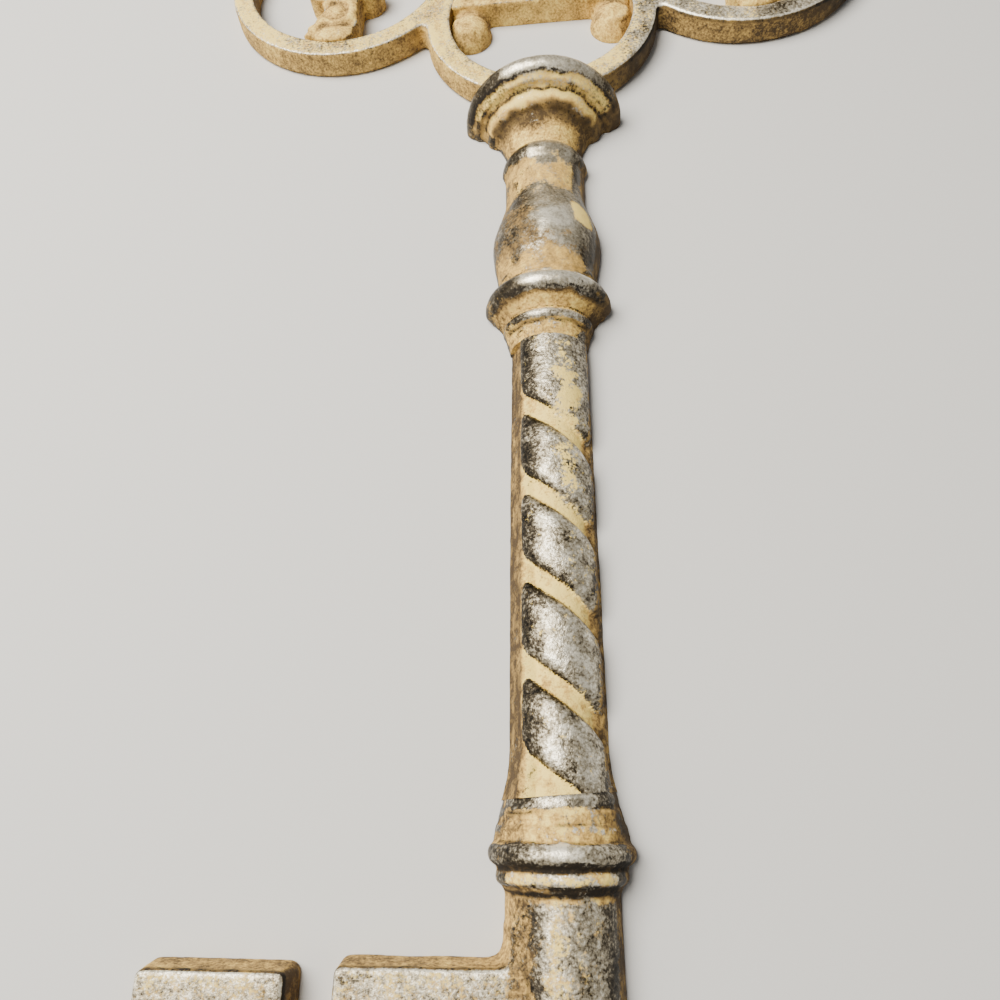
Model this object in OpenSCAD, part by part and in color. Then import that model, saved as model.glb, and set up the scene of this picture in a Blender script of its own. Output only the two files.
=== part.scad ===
// Decorative skeleton key, cast in half relief with a flat back.
// The back lies on z = 0, the shank runs along y with the bow at +y,
// and the bit points to -x. The origin is at the middle of the key's box.

/* [Plate] */
// Thickness of the bow and of the bit, from back to face
plate_t = 6.5; // [5:0.5:8]
// Lean of the ring bars' outer walls, from back to face
ring_draft = 0.5; // [0.2:0.1:1.2]
// Lean of the bit's walls, from back to face
bit_draft = 0.8; // [0.4:0.1:1.6]
// Bevel along the face edges of the ring bars
face_bevel = 0.7; // [0.3:0.1:1.2]
// Bevel along the outer back edge of the ring bars
back_bevel = 0.8; // [0.3:0.1:1.2]

/* [Bow] */
// Outside radius of the centre ring at the back
hub_r = 29.2; // [27:0.2:32]
// Width of the centre ring's bar at the back
hub_bar_w = 6.6; // [5:0.2:8]
// Outside radius of each lobe ring at the back
lobe_r = 31.3; // [29:0.1:34]
// Width of a lobe ring's bar at the back
lobe_bar_w = 6; // [5:0.2:8]
// Depth that a lobe ring shares with the centre ring
lobe_lap = 5.2; // [4:0.2:6]
// Depth that neighbouring lobe rings share where they touch
lobe_kiss = 1; // [0.6:0.1:2]
// Height of the slice cut off the centre ring where it stands on the cup
hub_seat = 1; // [0.6:0.1:2]

/* [Centre ring scrollwork] */
// Height of the crossbar's lower edge above the centre of the ring
crossbar_rise = 3.8; // [1:0.2:5]
// Height of the crossbar across the ring
crossbar_w = 6.2; // [5:0.2:8]
// Radius of the round bud under each end of the crossbar, at the back
bud_r = 5.6; // [5:0.1:7]
// Lean of a bud's wall, from the back to its top
bud_lean = 1; // [0.4:0.1:1.4]
// Height of a bud, from the back to its top
bud_h = 4.8; // [3.6:0.2:6]
// Distance from the ring's inner wall to the centre of a bud
bud_wall = 4.4; // [3.6:0.2:4.8]
// Width of the strap round a bud
bud_strap_w = 1.4; // [1:0.1:1.8]
// Radius of the palmette's middle leaf
leaf_r = 5; // [4:0.2:6]
// Height of the slice cut off the middle leaf where it meets the ring
leaf_seat = 0.5; // [0.3:0.1:1]
// Radius of each side leaf of the palmette
side_leaf_r = 3.6; // [3:0.2:4.4]

/* [Lobe scrollwork] */
// Radius of the volute at each end of the upright scroll
volute_r = 6.2; // [5.6:0.1:7]
// Distance from the lobe's centre to the centre of a volute
volute_reach = 16.4; // [15.4:0.2:17]
// Radius of the curled tip beside a volute
tip_r = 2.2; // [1.8:0.1:2.8]
// Distance from the centre of a volute to the centre of its curled tip
tip_reach = 6.8; // [6:0.1:7.4]
// Width of the foot where the scroll stands on the ring
foot_w = 9.5; // [8:0.5:11]
// Radius of the four petals in the middle of the scroll
petal_r = 4.9; // [4:0.1:5.4]
// Distance from the lobe's centre to the centre of a petal
petal_reach = 8.3; // [7:0.1:8.4]
// Radius of the boss between the petals
boss_r = 4.6; // [3.6:0.2:5.6]

/* [Relief] */
// Width of the raised strap that winds round a volute
strap_w = 2.4; // [1.8:0.1:2.8]
// Height of the raised strap above the face
strap_h = 1.3; // [0.8:0.1:2]
// Distance that a volute's strap steps in after half a turn
strap_step = 1.5; // [1.2:0.1:1.8]
// Distance that relief keeps from the edge or the relief beside it
relief_gap = 0.3; // [0.2:0.1:0.6]
// Radius of the eye in the middle of a volute
eye_r = 2; // [1.4:0.1:2.4]
// Height of the eyes and petals above the face
eye_h = 1.8; // [1:0.1:2.6]

/* [Cup under the bow] */
// Height of the cup along the shank
cup_h = 11; // [9:0.5:14]
// Radius of the cup's rim
rim_r = 18.5; // [17:0.5:22]
// Radius of the rounding of the rim
rim_round = 2.7; // [2:0.1:3.2]
// Distance from the top of the cup down to the middle of the rim
rim_drop = 4.6; // [3.4:0.1:5]
// Radius of the ring inside the rim
mid_r = 16.4; // [15.5:0.1:16.8]
// Radius of the cup's lip, next to the neck
lip_r = 13.9; // [12.5:0.1:14.5]
// Radius of the rounding of the lip and of the ring inside the rim
lip_round = 1.15; // [0.8:0.05:1.4]
// Length of the hollow cone between the cup and the neck ring
cone_h = 7.4; // [6:0.2:11]
// Radius of the cone where it goes into the cup
cone_top_r = 10.8; // [10:0.1:12]
// Radius of the cone at the neck ring
cone_foot_r = 8.4; // [7.6:0.1:9]

/* [Vase] */
// Height of the neck ring
neck_h = 4.2; // [3:0.2:6]
// Radius of the neck ring
neck_r = 9.9; // [9.4:0.1:11]
// Height of the vase
vase_h = 33.8; // [30:0.2:40]
// Radius of the vase's belly
belly_r = 11.9; // [11:0.1:13]
// Height of the belly above the foot of the vase
belly_y = 14; // [11:0.5:17]
// Radius of the vase's waist
waist_r = 9.1; // [8.4:0.1:9.8]
// Height of the waist above the foot of the vase
waist_y = 27; // [22:0.5:28]
// Radius of the vase at its foot
vase_foot_r = 10.3; // [9.6:0.1:11]

/* [Second collar] */
// Height of the second collar's ring
second_h = 4.5; // [3.5:0.1:6]
// Radius of the second collar's ring
second_r = 13.4; // [12.6:0.1:15]
// Height of the throat between the ring and the rope
throat_h = 8; // [7:0.2:10]
// Radius of the throat where it meets the ring
throat_top_r = 11.9; // [10.6:0.1:12.4]
// Radius of the throat's bead
throat_bead_r = 10; // [9.7:0.1:10.8]
// Height of the throat's bead
throat_bead_h = 2.3; // [1.8:0.1:2.8]
// Height of the middle of the bead above the rope
throat_bead_y = 3.3; // [2.4:0.1:4]

/* [Rope] */
// Radius of the rope over its strands
rope_r = 8.1; // [7.4:0.1:8.8]
// Length of the rope
rope_len = 84.8; // [70:0.4:100]
// Distance along the shank from one groove to the next
groove_pitch = 16; // [13:0.5:20]
// Depth of the grooves between the strands
groove_depth = 1.7; // [1:0.1:2.2]
// Half the width of a groove's floor, measured along the shank
groove_half = 1.1; // [0.8:0.05:2]
// Height of the first full groove above the rope's foot, on the middle line
groove_first = 16.6; // [14:0.2:18]
// Number of full grooves
groove_count = 4; // [3:1:4]
// Height above the foot at which the last strand starts, on the middle line
run_out_y = 2.6; // [2:0.2:6]
// Distance along the shank from a strand's edge to its full height
swell_w = 5.5; // [4:0.5:7]
// Distance round the shank from a strand's rounded end to its full height
swell_end = 2.4; // [2:0.2:6]
// Growth of the radius at the rope's foot
foot_flare = 0.7; // [0.3:0.1:0.8]
// Height over which the foot grows
foot_flare_h = 8; // [4:0.5:12]
// Squareness of a strand's section and of its corners
swell_power = 3; // [2:0.5:4]
// Angle of the rope's left flank on which the strands end
plain_left = 41; // [25:1:45]
// Angle of the rope's right flank on which the strands end
plain_right = 12; // [8:1:35]
// Half the width of the rope at the flat back, over its leaning strips
strip_r = 8.2; // [7.8:0.1:8.6]
// Lean of the strips on the rope's flanks, in degrees
strip_lean = 24; // [15:1:30]
// Distance over which the grooves' floors rise to the strips
strip_blend = 2.2; // [1:0.2:4]

/* [Lower collar] */
// Height of the thin ring under the rope
thin_ring_h = 1.9; // [1.5:0.1:2.5]
// Radius of the thin ring under the rope
thin_ring_r = 9; // [8.8:0.1:9.4]
// Height of each of the two bands over the main ring
band_h = 2.35; // [1.8:0.05:3]
// Radius of the upper band
upper_band_r = 9.9; // [9.5:0.1:10.3]
// Radius of the lower band
lower_band_r = 10.7; // [10.4:0.1:11]
// Height of the main ring
main_ring_h = 3.6; // [3:0.1:4.6]
// Radius of the main ring
main_ring_r = 12; // [11.6:0.1:13]
// Height of the round band under the main ring
under_band_h = 2.7; // [2:0.1:3.4]
// Radius of the round band under the main ring
under_band_r = 11; // [10.6:0.1:11.4]
// Height of the bead that ends the collar
end_bead_h = 0.8; // [0.6:0.1:1.4]
// Radius of the bead that ends the collar
end_bead_r = 9.8; // [9.6:0.1:10.4]

/* [Lower shank] */
// Radius of the plain lower shank
shank_r = 9.1; // [8.4:0.1:9.5]
// Length of plain shank between the lower collar and the bit
shank_above_bit = 9.1; // [6:0.1:20]
// Length of plain shank between the bit and the tip ring
shank_below_bit = 6.4; // [4:0.2:15]
// Height of the ring at the tip
tip_ring_h = 4; // [3:0.2:6]
// Radius of the ring at the tip
tip_ring_r = 10.8; // [10:0.1:12.5]
// Length of the button that ends the shank
button_h = 8; // [5:0.5:8]
// Radius of the button where it meets the tip ring
button_r = 8.2; // [8:0.1:9]

/* [Bit] */
// Height of the bit along the shank
bit_h = 70; // [60:1:80]
// Reach of the inner block from the shank's middle line
inner_reach = 34.9; // [30:0.1:40]
// Width of the slot between the inner block and the outer teeth
slot_w = 5.7; // [5:0.1:8]
// Width of the outer teeth
tooth_w = 25; // [18:0.5:30]
// Distance that the outer teeth stand in from the ends of the inner block
tooth_inset = 0.9; // [0.4:0.1:3]
// Height of the web between the two outer teeth
web_h = 12; // [10:0.5:16]
// Depth that the web lies below the face of the blocks
web_sink = 1.6; // [0.8:0.2:2.4]
// Radius of the blocks' corners
corner_r = 2; // [1:0.2:3]
// Radius of the fillet between the bit and the shank
root_fillet = 4; // [2:0.2:5]

/* [Hidden] */
$fn = 64;

// Stations along the shank, from the tip at 0
tip_ring_y = button_h;
lower_shank_y = tip_ring_y + tip_ring_h;
bit_y = lower_shank_y + shank_below_bit;
bit_top_y = bit_y + bit_h;
lower_collar_y = bit_top_y + shank_above_bit;
lower_collar_h = end_bead_h + under_band_h + main_ring_h + 2 * band_h;
thin_ring_y = lower_collar_y + lower_collar_h;
rope_y = thin_ring_y + thin_ring_h;
throat_y = rope_y + rope_len;
second_y = throat_y + throat_h;
vase_y = second_y + second_h;
neck_y = vase_y + vase_h;
cone_y = neck_y + neck_h;
cup_y = cone_y + cone_h;
hub_y = cup_y + cup_h + hub_r - hub_seat;

// Layout of the lobes round the centre ring
hub_in_r = hub_r - hub_bar_w;
lobe_in_r = lobe_r - lobe_bar_w;
lobe_dist = hub_r + lobe_r - lobe_lap;
half_turn_between_lobes = asin((lobe_r - lobe_kiss / 2) / lobe_dist);
side_lobe_angle = 90 - 2 * half_turn_between_lobes;
left_angle = 180 - side_lobe_angle;
right_angle = side_lobe_angle;
top_angle = 90;
hub_join = (lobe_dist * lobe_dist + hub_r * hub_r - lobe_r * lobe_r) / (2 * lobe_dist);
lobe_join = lobe_dist - hub_join;
neighbour_join = lobe_r - lobe_kiss / 2;
overall_len = hub_y + lobe_dist + lobe_r;

// Layout of the scrollwork and of the bit's outer teeth
bud_x = hub_in_r - bud_wall;
tip_angle = 215;
strap_start = 205;
bud_strap_start = 255;
bud_strap_turn = 120;
tooth_x = -inner_reach - slot_w - tooth_w;
tooth_h = (bit_h - web_h) / 2 - tooth_inset;

// Layout of the rope: each turn of a strand passes two grooves
rope_lead = 2 * groove_pitch;
step_angle = 6;
row_h = rope_lead * step_angle / 360;

// Sizes that only serve to cut or to join
over = 1;
far = 2 * lobe_r;
skin = 0.01;

// Sides of the round forms that need more or fewer than the rest
block_sides = 32;
ring_sides = 96;
dome_sides = 256;

iron = "#4a443d";
paint = "#b59a6c";
cream = "#c9bfae";

// Half of a turned form: children are drawn as [radius, height along the shank]
module turned() {
  rotate([-90, 0, 0])
    rotate([0, 0, 180])
      rotate_extrude(angle = 180)
        children();
}

// Section of a rounded ring of a turned form that stands on its base line
module ring_section(radius, height) {
  translate([radius - height / 2, height / 2])
    circle(r = height / 2);
  square([radius - height / 2, height]);
}

// Smooth step from a to b as t goes from 0 to 1
function ease(a, b, t) = a + (b - a) * (1 - cos(180 * t)) / 2;

// Points of an eased line between two stations of a profile, [radius, height]
function eased(r0, y0, r1, y1, steps) = [
  for (i = [0:steps]) [ease(r0, r1, i / steps), y0 + (y1 - y0) * i / steps]
];

// Everything is drawn from the tip and moved to the middle of the key's box
module placed() {
  translate([0, -overall_len / 2, 0])
    children();
}

// Half-space beyond a plane at a distance from the centre, facing an angle
module beyond(angle, distance) {
  rotate([0, 0, angle])
    translate([distance, -far, -over])
      cube([far, 2 * far, plate_t + 2 * over]);
}

// Ring bar with a leaning outer wall and bevelled edges
module ring_bar(radius, width) {
  lean_r = radius - ring_draft;
  rotate_extrude($fn = ring_sides)
    polygon([
      [radius - width, 0],
      [radius - back_bevel, 0],
      [radius, back_bevel],
      [lean_r, plate_t - face_bevel],
      [lean_r - face_bevel, plate_t],
      [radius - width + face_bevel, plate_t],
      [radius - width, plate_t - face_bevel]
    ]);
}

module centre_ring() {
  color(cream)
    placed()
      translate([0, hub_y, 0])
        difference() {
          ring_bar(hub_r, hub_bar_w);
          for (angle = [left_angle, top_angle, right_angle])
            beyond(angle, hub_join);
          beyond(-90, hub_r - hub_seat);
        }
}

// Moves children to the centre of the lobe at an angle round the centre ring
module at_lobe(angle) {
  placed()
    translate([lobe_dist * cos(angle), hub_y + lobe_dist * sin(angle), 0])
      children();
}

// Lobe ring, cut flat where it meets the centre ring and the lobes beside it
module lobe_ring(angle, neighbours) {
  color(cream)
    at_lobe(angle)
      difference() {
        ring_bar(lobe_r, lobe_bar_w);
        beyond(angle + 180, lobe_join);
        for (other = neighbours)
          beyond((angle + other) / 2 + sign(other - angle) * 90, neighbour_join);
      }
}

module left_lobe_ring() {
  lobe_ring(left_angle, [top_angle]);
}

module right_lobe_ring() {
  lobe_ring(right_angle, [top_angle]);
}

module top_lobe_ring() {
  lobe_ring(top_angle, [left_angle, right_angle]);
}

// Low dome with a flat base
module dome(radius, height) {
  ball_r = (radius * radius + height * height) / (2 * height);
  rotate_extrude()
    intersection() {
      translate([0, height - ball_r])
        circle(r = ball_r, $fn = dome_sides);
      square([radius, height]);
    }
}

// Raised strap along an arc, with a crowned top
module strap(radius, width, start, turn) {
  crown_r = (width * width / 4 + strap_h * strap_h) / (2 * strap_h);
  rotate([0, 0, start])
    rotate_extrude(angle = turn)
      translate([radius, 0])
        intersection() {
          translate([0, strap_h - crown_r])
            circle(r = crown_r);
          translate([-width / 2, 0])
            square([width, strap_h]);
        }
}

// Strap of a volute: half a turn, then half a turn on a smaller radius
module volute_strap() {
  outer_r = volute_r - strap_w / 2;
  strap(outer_r, strap_w, strap_start, 180);
  rotate([0, 0, strap_start + 180])
    translate([strap_step, 0, 0])
      strap(outer_r - strap_step, strap_w, 0, 180);
}

// Half-round roll with a flat base, drawn along its own z axis
module half_roll(length) {
  linear_extrude(length)
    intersection() {
      circle(r = strap_h);
      translate([-strap_h, 0])
        square([2 * strap_h, strap_h]);
    }
}

// Crossbar of the centre ring, cut to the ring's inner wall
module crossbar_bar() {
  linear_extrude(plate_t)
    intersection() {
      circle(r = hub_in_r, $fn = ring_sides);
      translate([-hub_in_r, crossbar_rise])
        square([2 * hub_in_r, crossbar_w]);
    }
}

// Round buds under the crossbar's ends, cut to the ring's inner wall
module buds() {
  intersection() {
    cylinder(h = bud_h, r = hub_in_r, $fn = ring_sides);
    for (side = [-1, 1])
      translate([side * bud_x, 0, 0])
        cylinder(h = bud_h, r1 = bud_r, r2 = bud_r - bud_lean);
  }
}

module crossbar_plate() {
  color(paint)
    placed()
      translate([0, hub_y, 0]) {
        crossbar_bar();
        buds();
      }
}

// Straps and eyes on the buds, and the roll along the crossbar
module crossbar_scrolls() {
  strap_r = bud_wall - relief_gap - bud_strap_w / 2;
  roll_x = bud_x - bud_r;
  color(cream)
    placed()
      translate([0, hub_y, 0]) {
        for (side = [0, 1])
          mirror([side, 0, 0])
            translate([bud_x, 0, bud_h]) {
              strap(strap_r, bud_strap_w, bud_strap_start, bud_strap_turn);
              dome(eye_r, eye_h);
            }
        translate([-roll_x, crossbar_rise + crossbar_w / 2, plate_t])
          rotate([0, 90, 0])
            rotate([0, 0, 90])
              half_roll(2 * roll_x);
      }
}

// Three-leaved palmette that stands on the crossbar and reaches the ring
module palmette() {
  foot_y = crossbar_rise + crossbar_w;
  leaf_y = hub_in_r - leaf_r + leaf_seat;
  color(cream)
    placed()
      translate([0, hub_y, 0])
        linear_extrude(plate_t)
          intersection() {
            circle(r = hub_in_r, $fn = ring_sides);
            union() {
              translate([0, leaf_y])
                circle(r = leaf_r);
              translate([-leaf_r / 2, foot_y])
                square([leaf_r, leaf_y - foot_y]);
              for (side = [-1, 1])
                translate([side * leaf_r, foot_y + side_leaf_r])
                  circle(r = side_leaf_r);
            }
          }
}

// Outline of one end of an upright scroll: foot, volute and curled tips
module scroll_end(tips) {
  tip_x = tip_reach * cos(tip_angle);
  tip_y = -volute_reach + tip_reach * sin(tip_angle);
  translate([0, -volute_reach])
    circle(r = volute_r);
  translate([-foot_w / 2, -lobe_in_r])
    square([foot_w, lobe_in_r - volute_reach]);
  for (side = tips)
    mirror([side > 0 ? 1 : 0, 0]) {
      translate([tip_x, tip_y])
        circle(r = tip_r);
      translate([tip_x, -lobe_in_r])
        square([-tip_x, lobe_in_r + tip_y]);
    }
}

// Upright scroll inside a lobe, from the ring's bottom to its top
module upright_scroll(lower_tips, upper_tips) {
  color(paint)
    linear_extrude(plate_t)
      intersection() {
        circle(r = lobe_in_r, $fn = ring_sides);
        union() {
          scroll_end(lower_tips);
          mirror([0, 1])
            scroll_end(upper_tips);
          translate([-petal_r, -volute_reach])
            square([2 * petal_r, 2 * volute_reach]);
          for (quarter = [45:90:315])
            rotate(quarter)
              translate([petal_reach, 0])
                circle(r = petal_r);
        }
      }
}

// Strap and eye of a volute: a spiral beside one tip, or an arc between two
module volute_relief(tips) {
  translate([0, -volute_reach, plate_t]) {
    dome(eye_r, eye_h);
    if (len(tips) > 1)
      strap(volute_r - strap_w / 2, strap_w, strap_start, 2 * (270 - strap_start));
    else
      mirror([tips[0] > 0 ? 1 : 0, 0, 0])
        volute_strap();
  }
}

// Relief on both volutes of an upright scroll
module scroll_relief(lower_tips, upper_tips) {
  color(cream) {
    volute_relief(lower_tips);
    mirror([0, 1, 0])
      volute_relief(upper_tips);
  }
}

// Four petals round a boss, standing on the middle of a scroll
module rosette() {
  color(cream)
    translate([0, 0, plate_t]) {
      for (quarter = [45:90:315])
        rotate(quarter)
          translate([petal_reach, 0, 0])
            dome(petal_reach - boss_r - relief_gap, eye_h);
      dome(boss_r, eye_h + strap_h / 2);
    }
}

module left_scroll() {
  at_lobe(left_angle)
    upright_scroll([-1], [1]);
}

module left_scroll_relief() {
  at_lobe(left_angle)
    scroll_relief([-1], [1]);
}

module left_rosette() {
  at_lobe(left_angle)
    rosette();
}

module right_scroll() {
  at_lobe(right_angle)
    upright_scroll([1], [-1]);
}

module right_scroll_relief() {
  at_lobe(right_angle)
    scroll_relief([1], [-1]);
}

module right_rosette() {
  at_lobe(right_angle)
    rosette();
}

module top_scroll() {
  at_lobe(top_angle)
    upright_scroll([-1, 1], [-1, 1]);
}

module top_scroll_relief() {
  at_lobe(top_angle)
    scroll_relief([-1, 1], [-1, 1]);
}

module top_rosette() {
  at_lobe(top_angle)
    rosette();
}

// Flared cup with a rounded rim, an inner ring and a lip
module cup() {
  lip_y = lip_round;
  rim_y = cup_h - rim_drop;
  mid_y = (lip_y + rim_y) / 2;
  color(iron)
    placed()
      translate([0, cup_y, 0])
        turned() {
          polygon([
            [0, 0],
            [lip_r - lip_round, 0],
            [mid_r - lip_round, mid_y],
            [rim_r - rim_round, rim_y],
            [rim_r - rim_round, cup_h],
            [0, cup_h]
          ]);
          translate([lip_r - lip_round, lip_y])
            circle(r = lip_round);
          translate([mid_r - lip_round, mid_y])
            circle(r = lip_round);
          translate([rim_r - rim_round, rim_y])
            circle(r = rim_round);
        }
}

// Cone that hollows as it widens into the cup
module hollow_cone() {
  steps = 8;
  color(paint)
    placed()
      translate([0, cone_y, 0])
        turned()
          polygon(concat(
            [[0, 0]],
            [for (i = [0:steps]) [
              cone_foot_r + (cone_top_r - cone_foot_r) * (1 - cos(90 * i / steps)),
              cone_h * i / steps
            ]],
            [[0, cone_h]]
          ));
}

module neck_ring() {
  color(iron)
    placed()
      translate([0, neck_y, 0])
        turned()
          ring_section(neck_r, neck_h);
}

// Pear-shaped vase: foot, belly, waist and neck
module vase() {
  steps = 7;
  top_r = cone_foot_r + (neck_r - cone_foot_r) / 2;
  color(iron)
    placed()
      translate([0, vase_y, 0])
        turned()
          polygon(concat(
            [[0, 0]],
            eased(vase_foot_r, 0, belly_r, belly_y, steps),
            eased(belly_r, belly_y, waist_r, waist_y, steps),
            eased(waist_r, waist_y, top_r, vase_h, steps),
            [[0, vase_h]]
          ));
}

module second_collar() {
  color(iron)
    placed()
      translate([0, second_y, 0])
        turned()
          ring_section(second_r, second_h);
}

// Throat that widens from the rope to the second collar, with a bead
module throat() {
  bead_round = throat_bead_h / 2;
  neck = throat_bead_r - bead_round;
  color(paint)
    placed()
      translate([0, throat_y, 0])
        turned() {
          polygon([
            [0, 0],
            [rope_r, 0],
            [neck, throat_bead_y - bead_round],
            [neck, throat_bead_y + bead_round],
            [throat_top_r, throat_h],
            [0, throat_h]
          ]);
          translate([neck, throat_bead_y])
            circle(r = bead_round);
        }
}

// Value held between 0 and 1
function held(t) = min(1, max(0, t));

// Distance from the nearest edge of a strand, measured along the shank
function off_edge(along) =
  let (
    past = along - groove_first,
    index = min(groove_count - 1, max(0, round(past / groove_pitch)))
  )
  min(abs(past - index * groove_pitch) - groove_half, along - run_out_y);

// Distance from the nearest end of a strand, measured round the shank
function off_end(angle) =
  rope_r * PI / 180 * min(180 - plain_left - angle, angle - plain_right);

// Share of its full height to which a strand swells at distances from edge and end
function swelling(edge, end) =
  let (
    across = 1 - held(edge / swell_w),
    endwise = 1 - held(end / swell_end)
  )
  sqrt(1 - min(1, pow(across, swell_power) + pow(endwise, swell_power)));

// Radius of the leaning strips at an angle from the right
function strip_radius(angle) = strip_r / (abs(cos(angle)) + tan(strip_lean) * sin(angle));

// Radius under the strands: the grooves' floor, which rises to the strips
function floor_radius(angle) =
  let (share = held(off_end(angle) / strip_blend))
  share * (rope_r - groove_depth) + (1 - share) * strip_radius(angle);

// Radius of the rope at an angle from the right and a height above its foot
function rope_radius(angle, y) =
  let (
    along = y - rope_lead * (angle - 90) / 360,
    share = swelling(off_edge(along), off_end(angle)),
    flare = foot_flare * pow(held(1 - y / foot_flare_h), 2)
  )
  share * rope_r + (1 - share) * floor_radius(angle) + flare;

// Two-strand rope in half relief, built as rows of points over the half round.
// The rows are so far apart that the faces' diagonals run along the strands.
module rope_shank() {
  columns = 180 / step_angle;
  rows = ceil(rope_len / row_h);
  stride = columns + 1;
  points = [
    for (row = [0:rows], column = [0:columns])
      let (
        y = rope_len * row / rows,
        angle = column * step_angle,
        r = rope_radius(angle, y)
      )
      [r * cos(angle), y, r * sin(angle)]
  ];
  sides = [
    for (row = [0:rows - 1], column = [0:columns])
      let (
        a = row * stride + column,
        b = row * stride + (column + 1) % stride
      )
      each [[a, b + stride, b], [a, a + stride, b + stride]]
  ];
  foot_face = [for (column = [0:columns]) column];
  top_face = [for (column = [columns:-1:0]) rows * stride + column];
  color(iron)
    placed()
      translate([0, rope_y, 0])
        polyhedron(points, concat(sides, [foot_face, top_face]));
}

module thin_ring() {
  color(iron)
    placed()
      translate([0, thin_ring_y, 0])
        turned()
          ring_section(thin_ring_r, thin_ring_h);
}

// Lower collar: end bead, round band, main ring and two stepped bands
module lower_collar() {
  under_y = end_bead_h;
  ring_y = under_y + under_band_h;
  band_y = ring_y + main_ring_h;
  upper_y = band_y + band_h;
  color(paint)
    placed()
      translate([0, lower_collar_y, 0])
        turned() {
          ring_section(end_bead_r, end_bead_h);
          translate([0, under_y])
            ring_section(under_band_r, under_band_h);
          translate([0, ring_y])
            ring_section(main_ring_r, main_ring_h);
          translate([0, band_y])
            polygon([
              [0, 0],
              [lower_band_r, 0],
              [(lower_band_r + upper_band_r) / 2, band_h],
              [0, band_h]
            ]);
          translate([0, upper_y])
            polygon([
              [0, 0],
              [upper_band_r, 0],
              [(upper_band_r + thin_ring_r) / 2, band_h],
              [0, band_h]
            ]);
        }
}

module lower_shank() {
  color(cream)
    placed()
      translate([0, lower_shank_y, 0])
        turned()
          square([shank_r, lower_collar_y - lower_shank_y]);
}

module tip_ring() {
  color(iron)
    placed()
      translate([0, tip_ring_y, 0])
        turned()
          ring_section(tip_ring_r, tip_ring_h);
}

module tip_button() {
  color(iron)
    placed()
      translate([0, button_r, 0])
        turned()
          intersection() {
            circle(r = button_r);
            translate([0, -button_r])
              square([button_r, button_h]);
          }
}

// Rectangle with round corners, from its lower left corner
module rounded_rectangle(size, radius) {
  hull()
    for (x = [radius, size[0] - radius], y = [radius, size[1] - radius])
      translate([x, y])
        circle(r = radius, $fn = block_sides);
}

// Block of the bit whose walls lean in from the back to the face
module leaning_block(corner, size, height) {
  lean = bit_draft * height / plate_t;
  hull() {
    translate(corner)
      linear_extrude(skin)
        rounded_rectangle(size, corner_r);
    translate([corner[0] + lean, corner[1] + lean, height - skin])
      linear_extrude(skin)
        rounded_rectangle([size[0] - 2 * lean, size[1] - 2 * lean], corner_r);
  }
}

// The lower shank's full round, cut out of what joins it
module shank_round() {
  translate([0, bit_y - far, 0])
    rotate([-90, 0, 0])
      cylinder(h = bit_h + 2 * far, r = shank_r);
}

module inner_block_solid() {
  leaning_block([-inner_reach, bit_y], [inner_reach + shank_r / 2, bit_h], plate_t);
}

// Fillet that carries an end wall of the bit into the side of the shank.
// It leans with the wall and with the chord of the shank's flank.
module root_corner() {
  flank_lean = shank_r - sqrt(shank_r * shank_r - plate_t * plate_t);
  slab_h = 3 * plate_t;
  intersection() {
    rotate([atan(bit_draft / plate_t), atan(flank_lean / plate_t), 0])
      translate([0, 0, -plate_t])
        linear_extrude(slab_h)
          difference() {
            translate([-root_fillet, -root_fillet])
              square([root_fillet + shank_r / 2, 2 * root_fillet]);
            translate([-root_fillet, root_fillet])
              circle(r = root_fillet);
          }
    translate([-far, -far, 0])
      cube([2 * far, 2 * far, plate_t]);
  }
}

module bit_inner_block() {
  color(cream)
    placed()
      difference() {
        union() {
          inner_block_solid();
          translate([-shank_r, bit_top_y, 0])
            root_corner();
          translate([-shank_r, bit_y, 0])
            mirror([0, 1, 0])
              root_corner();
        }
        shank_round();
      }
}

module upper_tooth_solid() {
  leaning_block([tooth_x, bit_top_y - tooth_inset - tooth_h], [tooth_w, tooth_h], plate_t);
}

module lower_tooth_solid() {
  leaning_block([tooth_x, bit_y + tooth_inset], [tooth_w, tooth_h], plate_t);
}

module bit_upper_tooth() {
  color(cream)
    placed()
      upper_tooth_solid();
}

module bit_lower_tooth() {
  color(cream)
    placed()
      lower_tooth_solid();
}

// Lower-lying web that ties both teeth to the inner block
module bit_web() {
  web_t = plate_t - web_sink;
  web_x = tooth_x + corner_r;
  color(paint)
    placed()
      difference() {
        translate([web_x, bit_y + tooth_inset + tooth_h - bit_draft, 0])
          cube([-inner_reach + bit_draft - web_x, web_h + 2 * bit_draft, web_t]);
        inner_block_solid();
        upper_tooth_solid();
        lower_tooth_solid();
      }
}

centre_ring();
left_lobe_ring();
right_lobe_ring();
top_lobe_ring();
crossbar_plate();
crossbar_scrolls();
palmette();
left_scroll();
left_scroll_relief();
left_rosette();
right_scroll();
right_scroll_relief();
right_rosette();
top_scroll();
top_scroll_relief();
top_rosette();
cup();
hollow_cone();
neck_ring();
vase();
second_collar();
throat();
rope_shank();
thin_ring();
lower_collar();
lower_shank();
tip_ring();
tip_button();
bit_inner_block();
bit_upper_tooth();
bit_lower_tooth();
bit_web();
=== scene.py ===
"""Dresses the decorative skeleton key as one worn, ochre-washed iron casting on a pale floor.

Most of the casting is held as a field of distances in millimetres, meshed on a fine grid, painted with masks
for the wash, for the wear with painted highlights and for the grime with painted shade, and cut at the planes
where its pieces meet. The rope and the rosettes follow rules, so node trees build them.
"""

import itertools
import logging
import math
from collections.abc import Callable, Iterable, Sequence
from dataclasses import dataclass, field
from enum import Enum

import bmesh
import bpy
import numpy as np
import openvdb
from mathutils import Matrix, Vector


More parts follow.
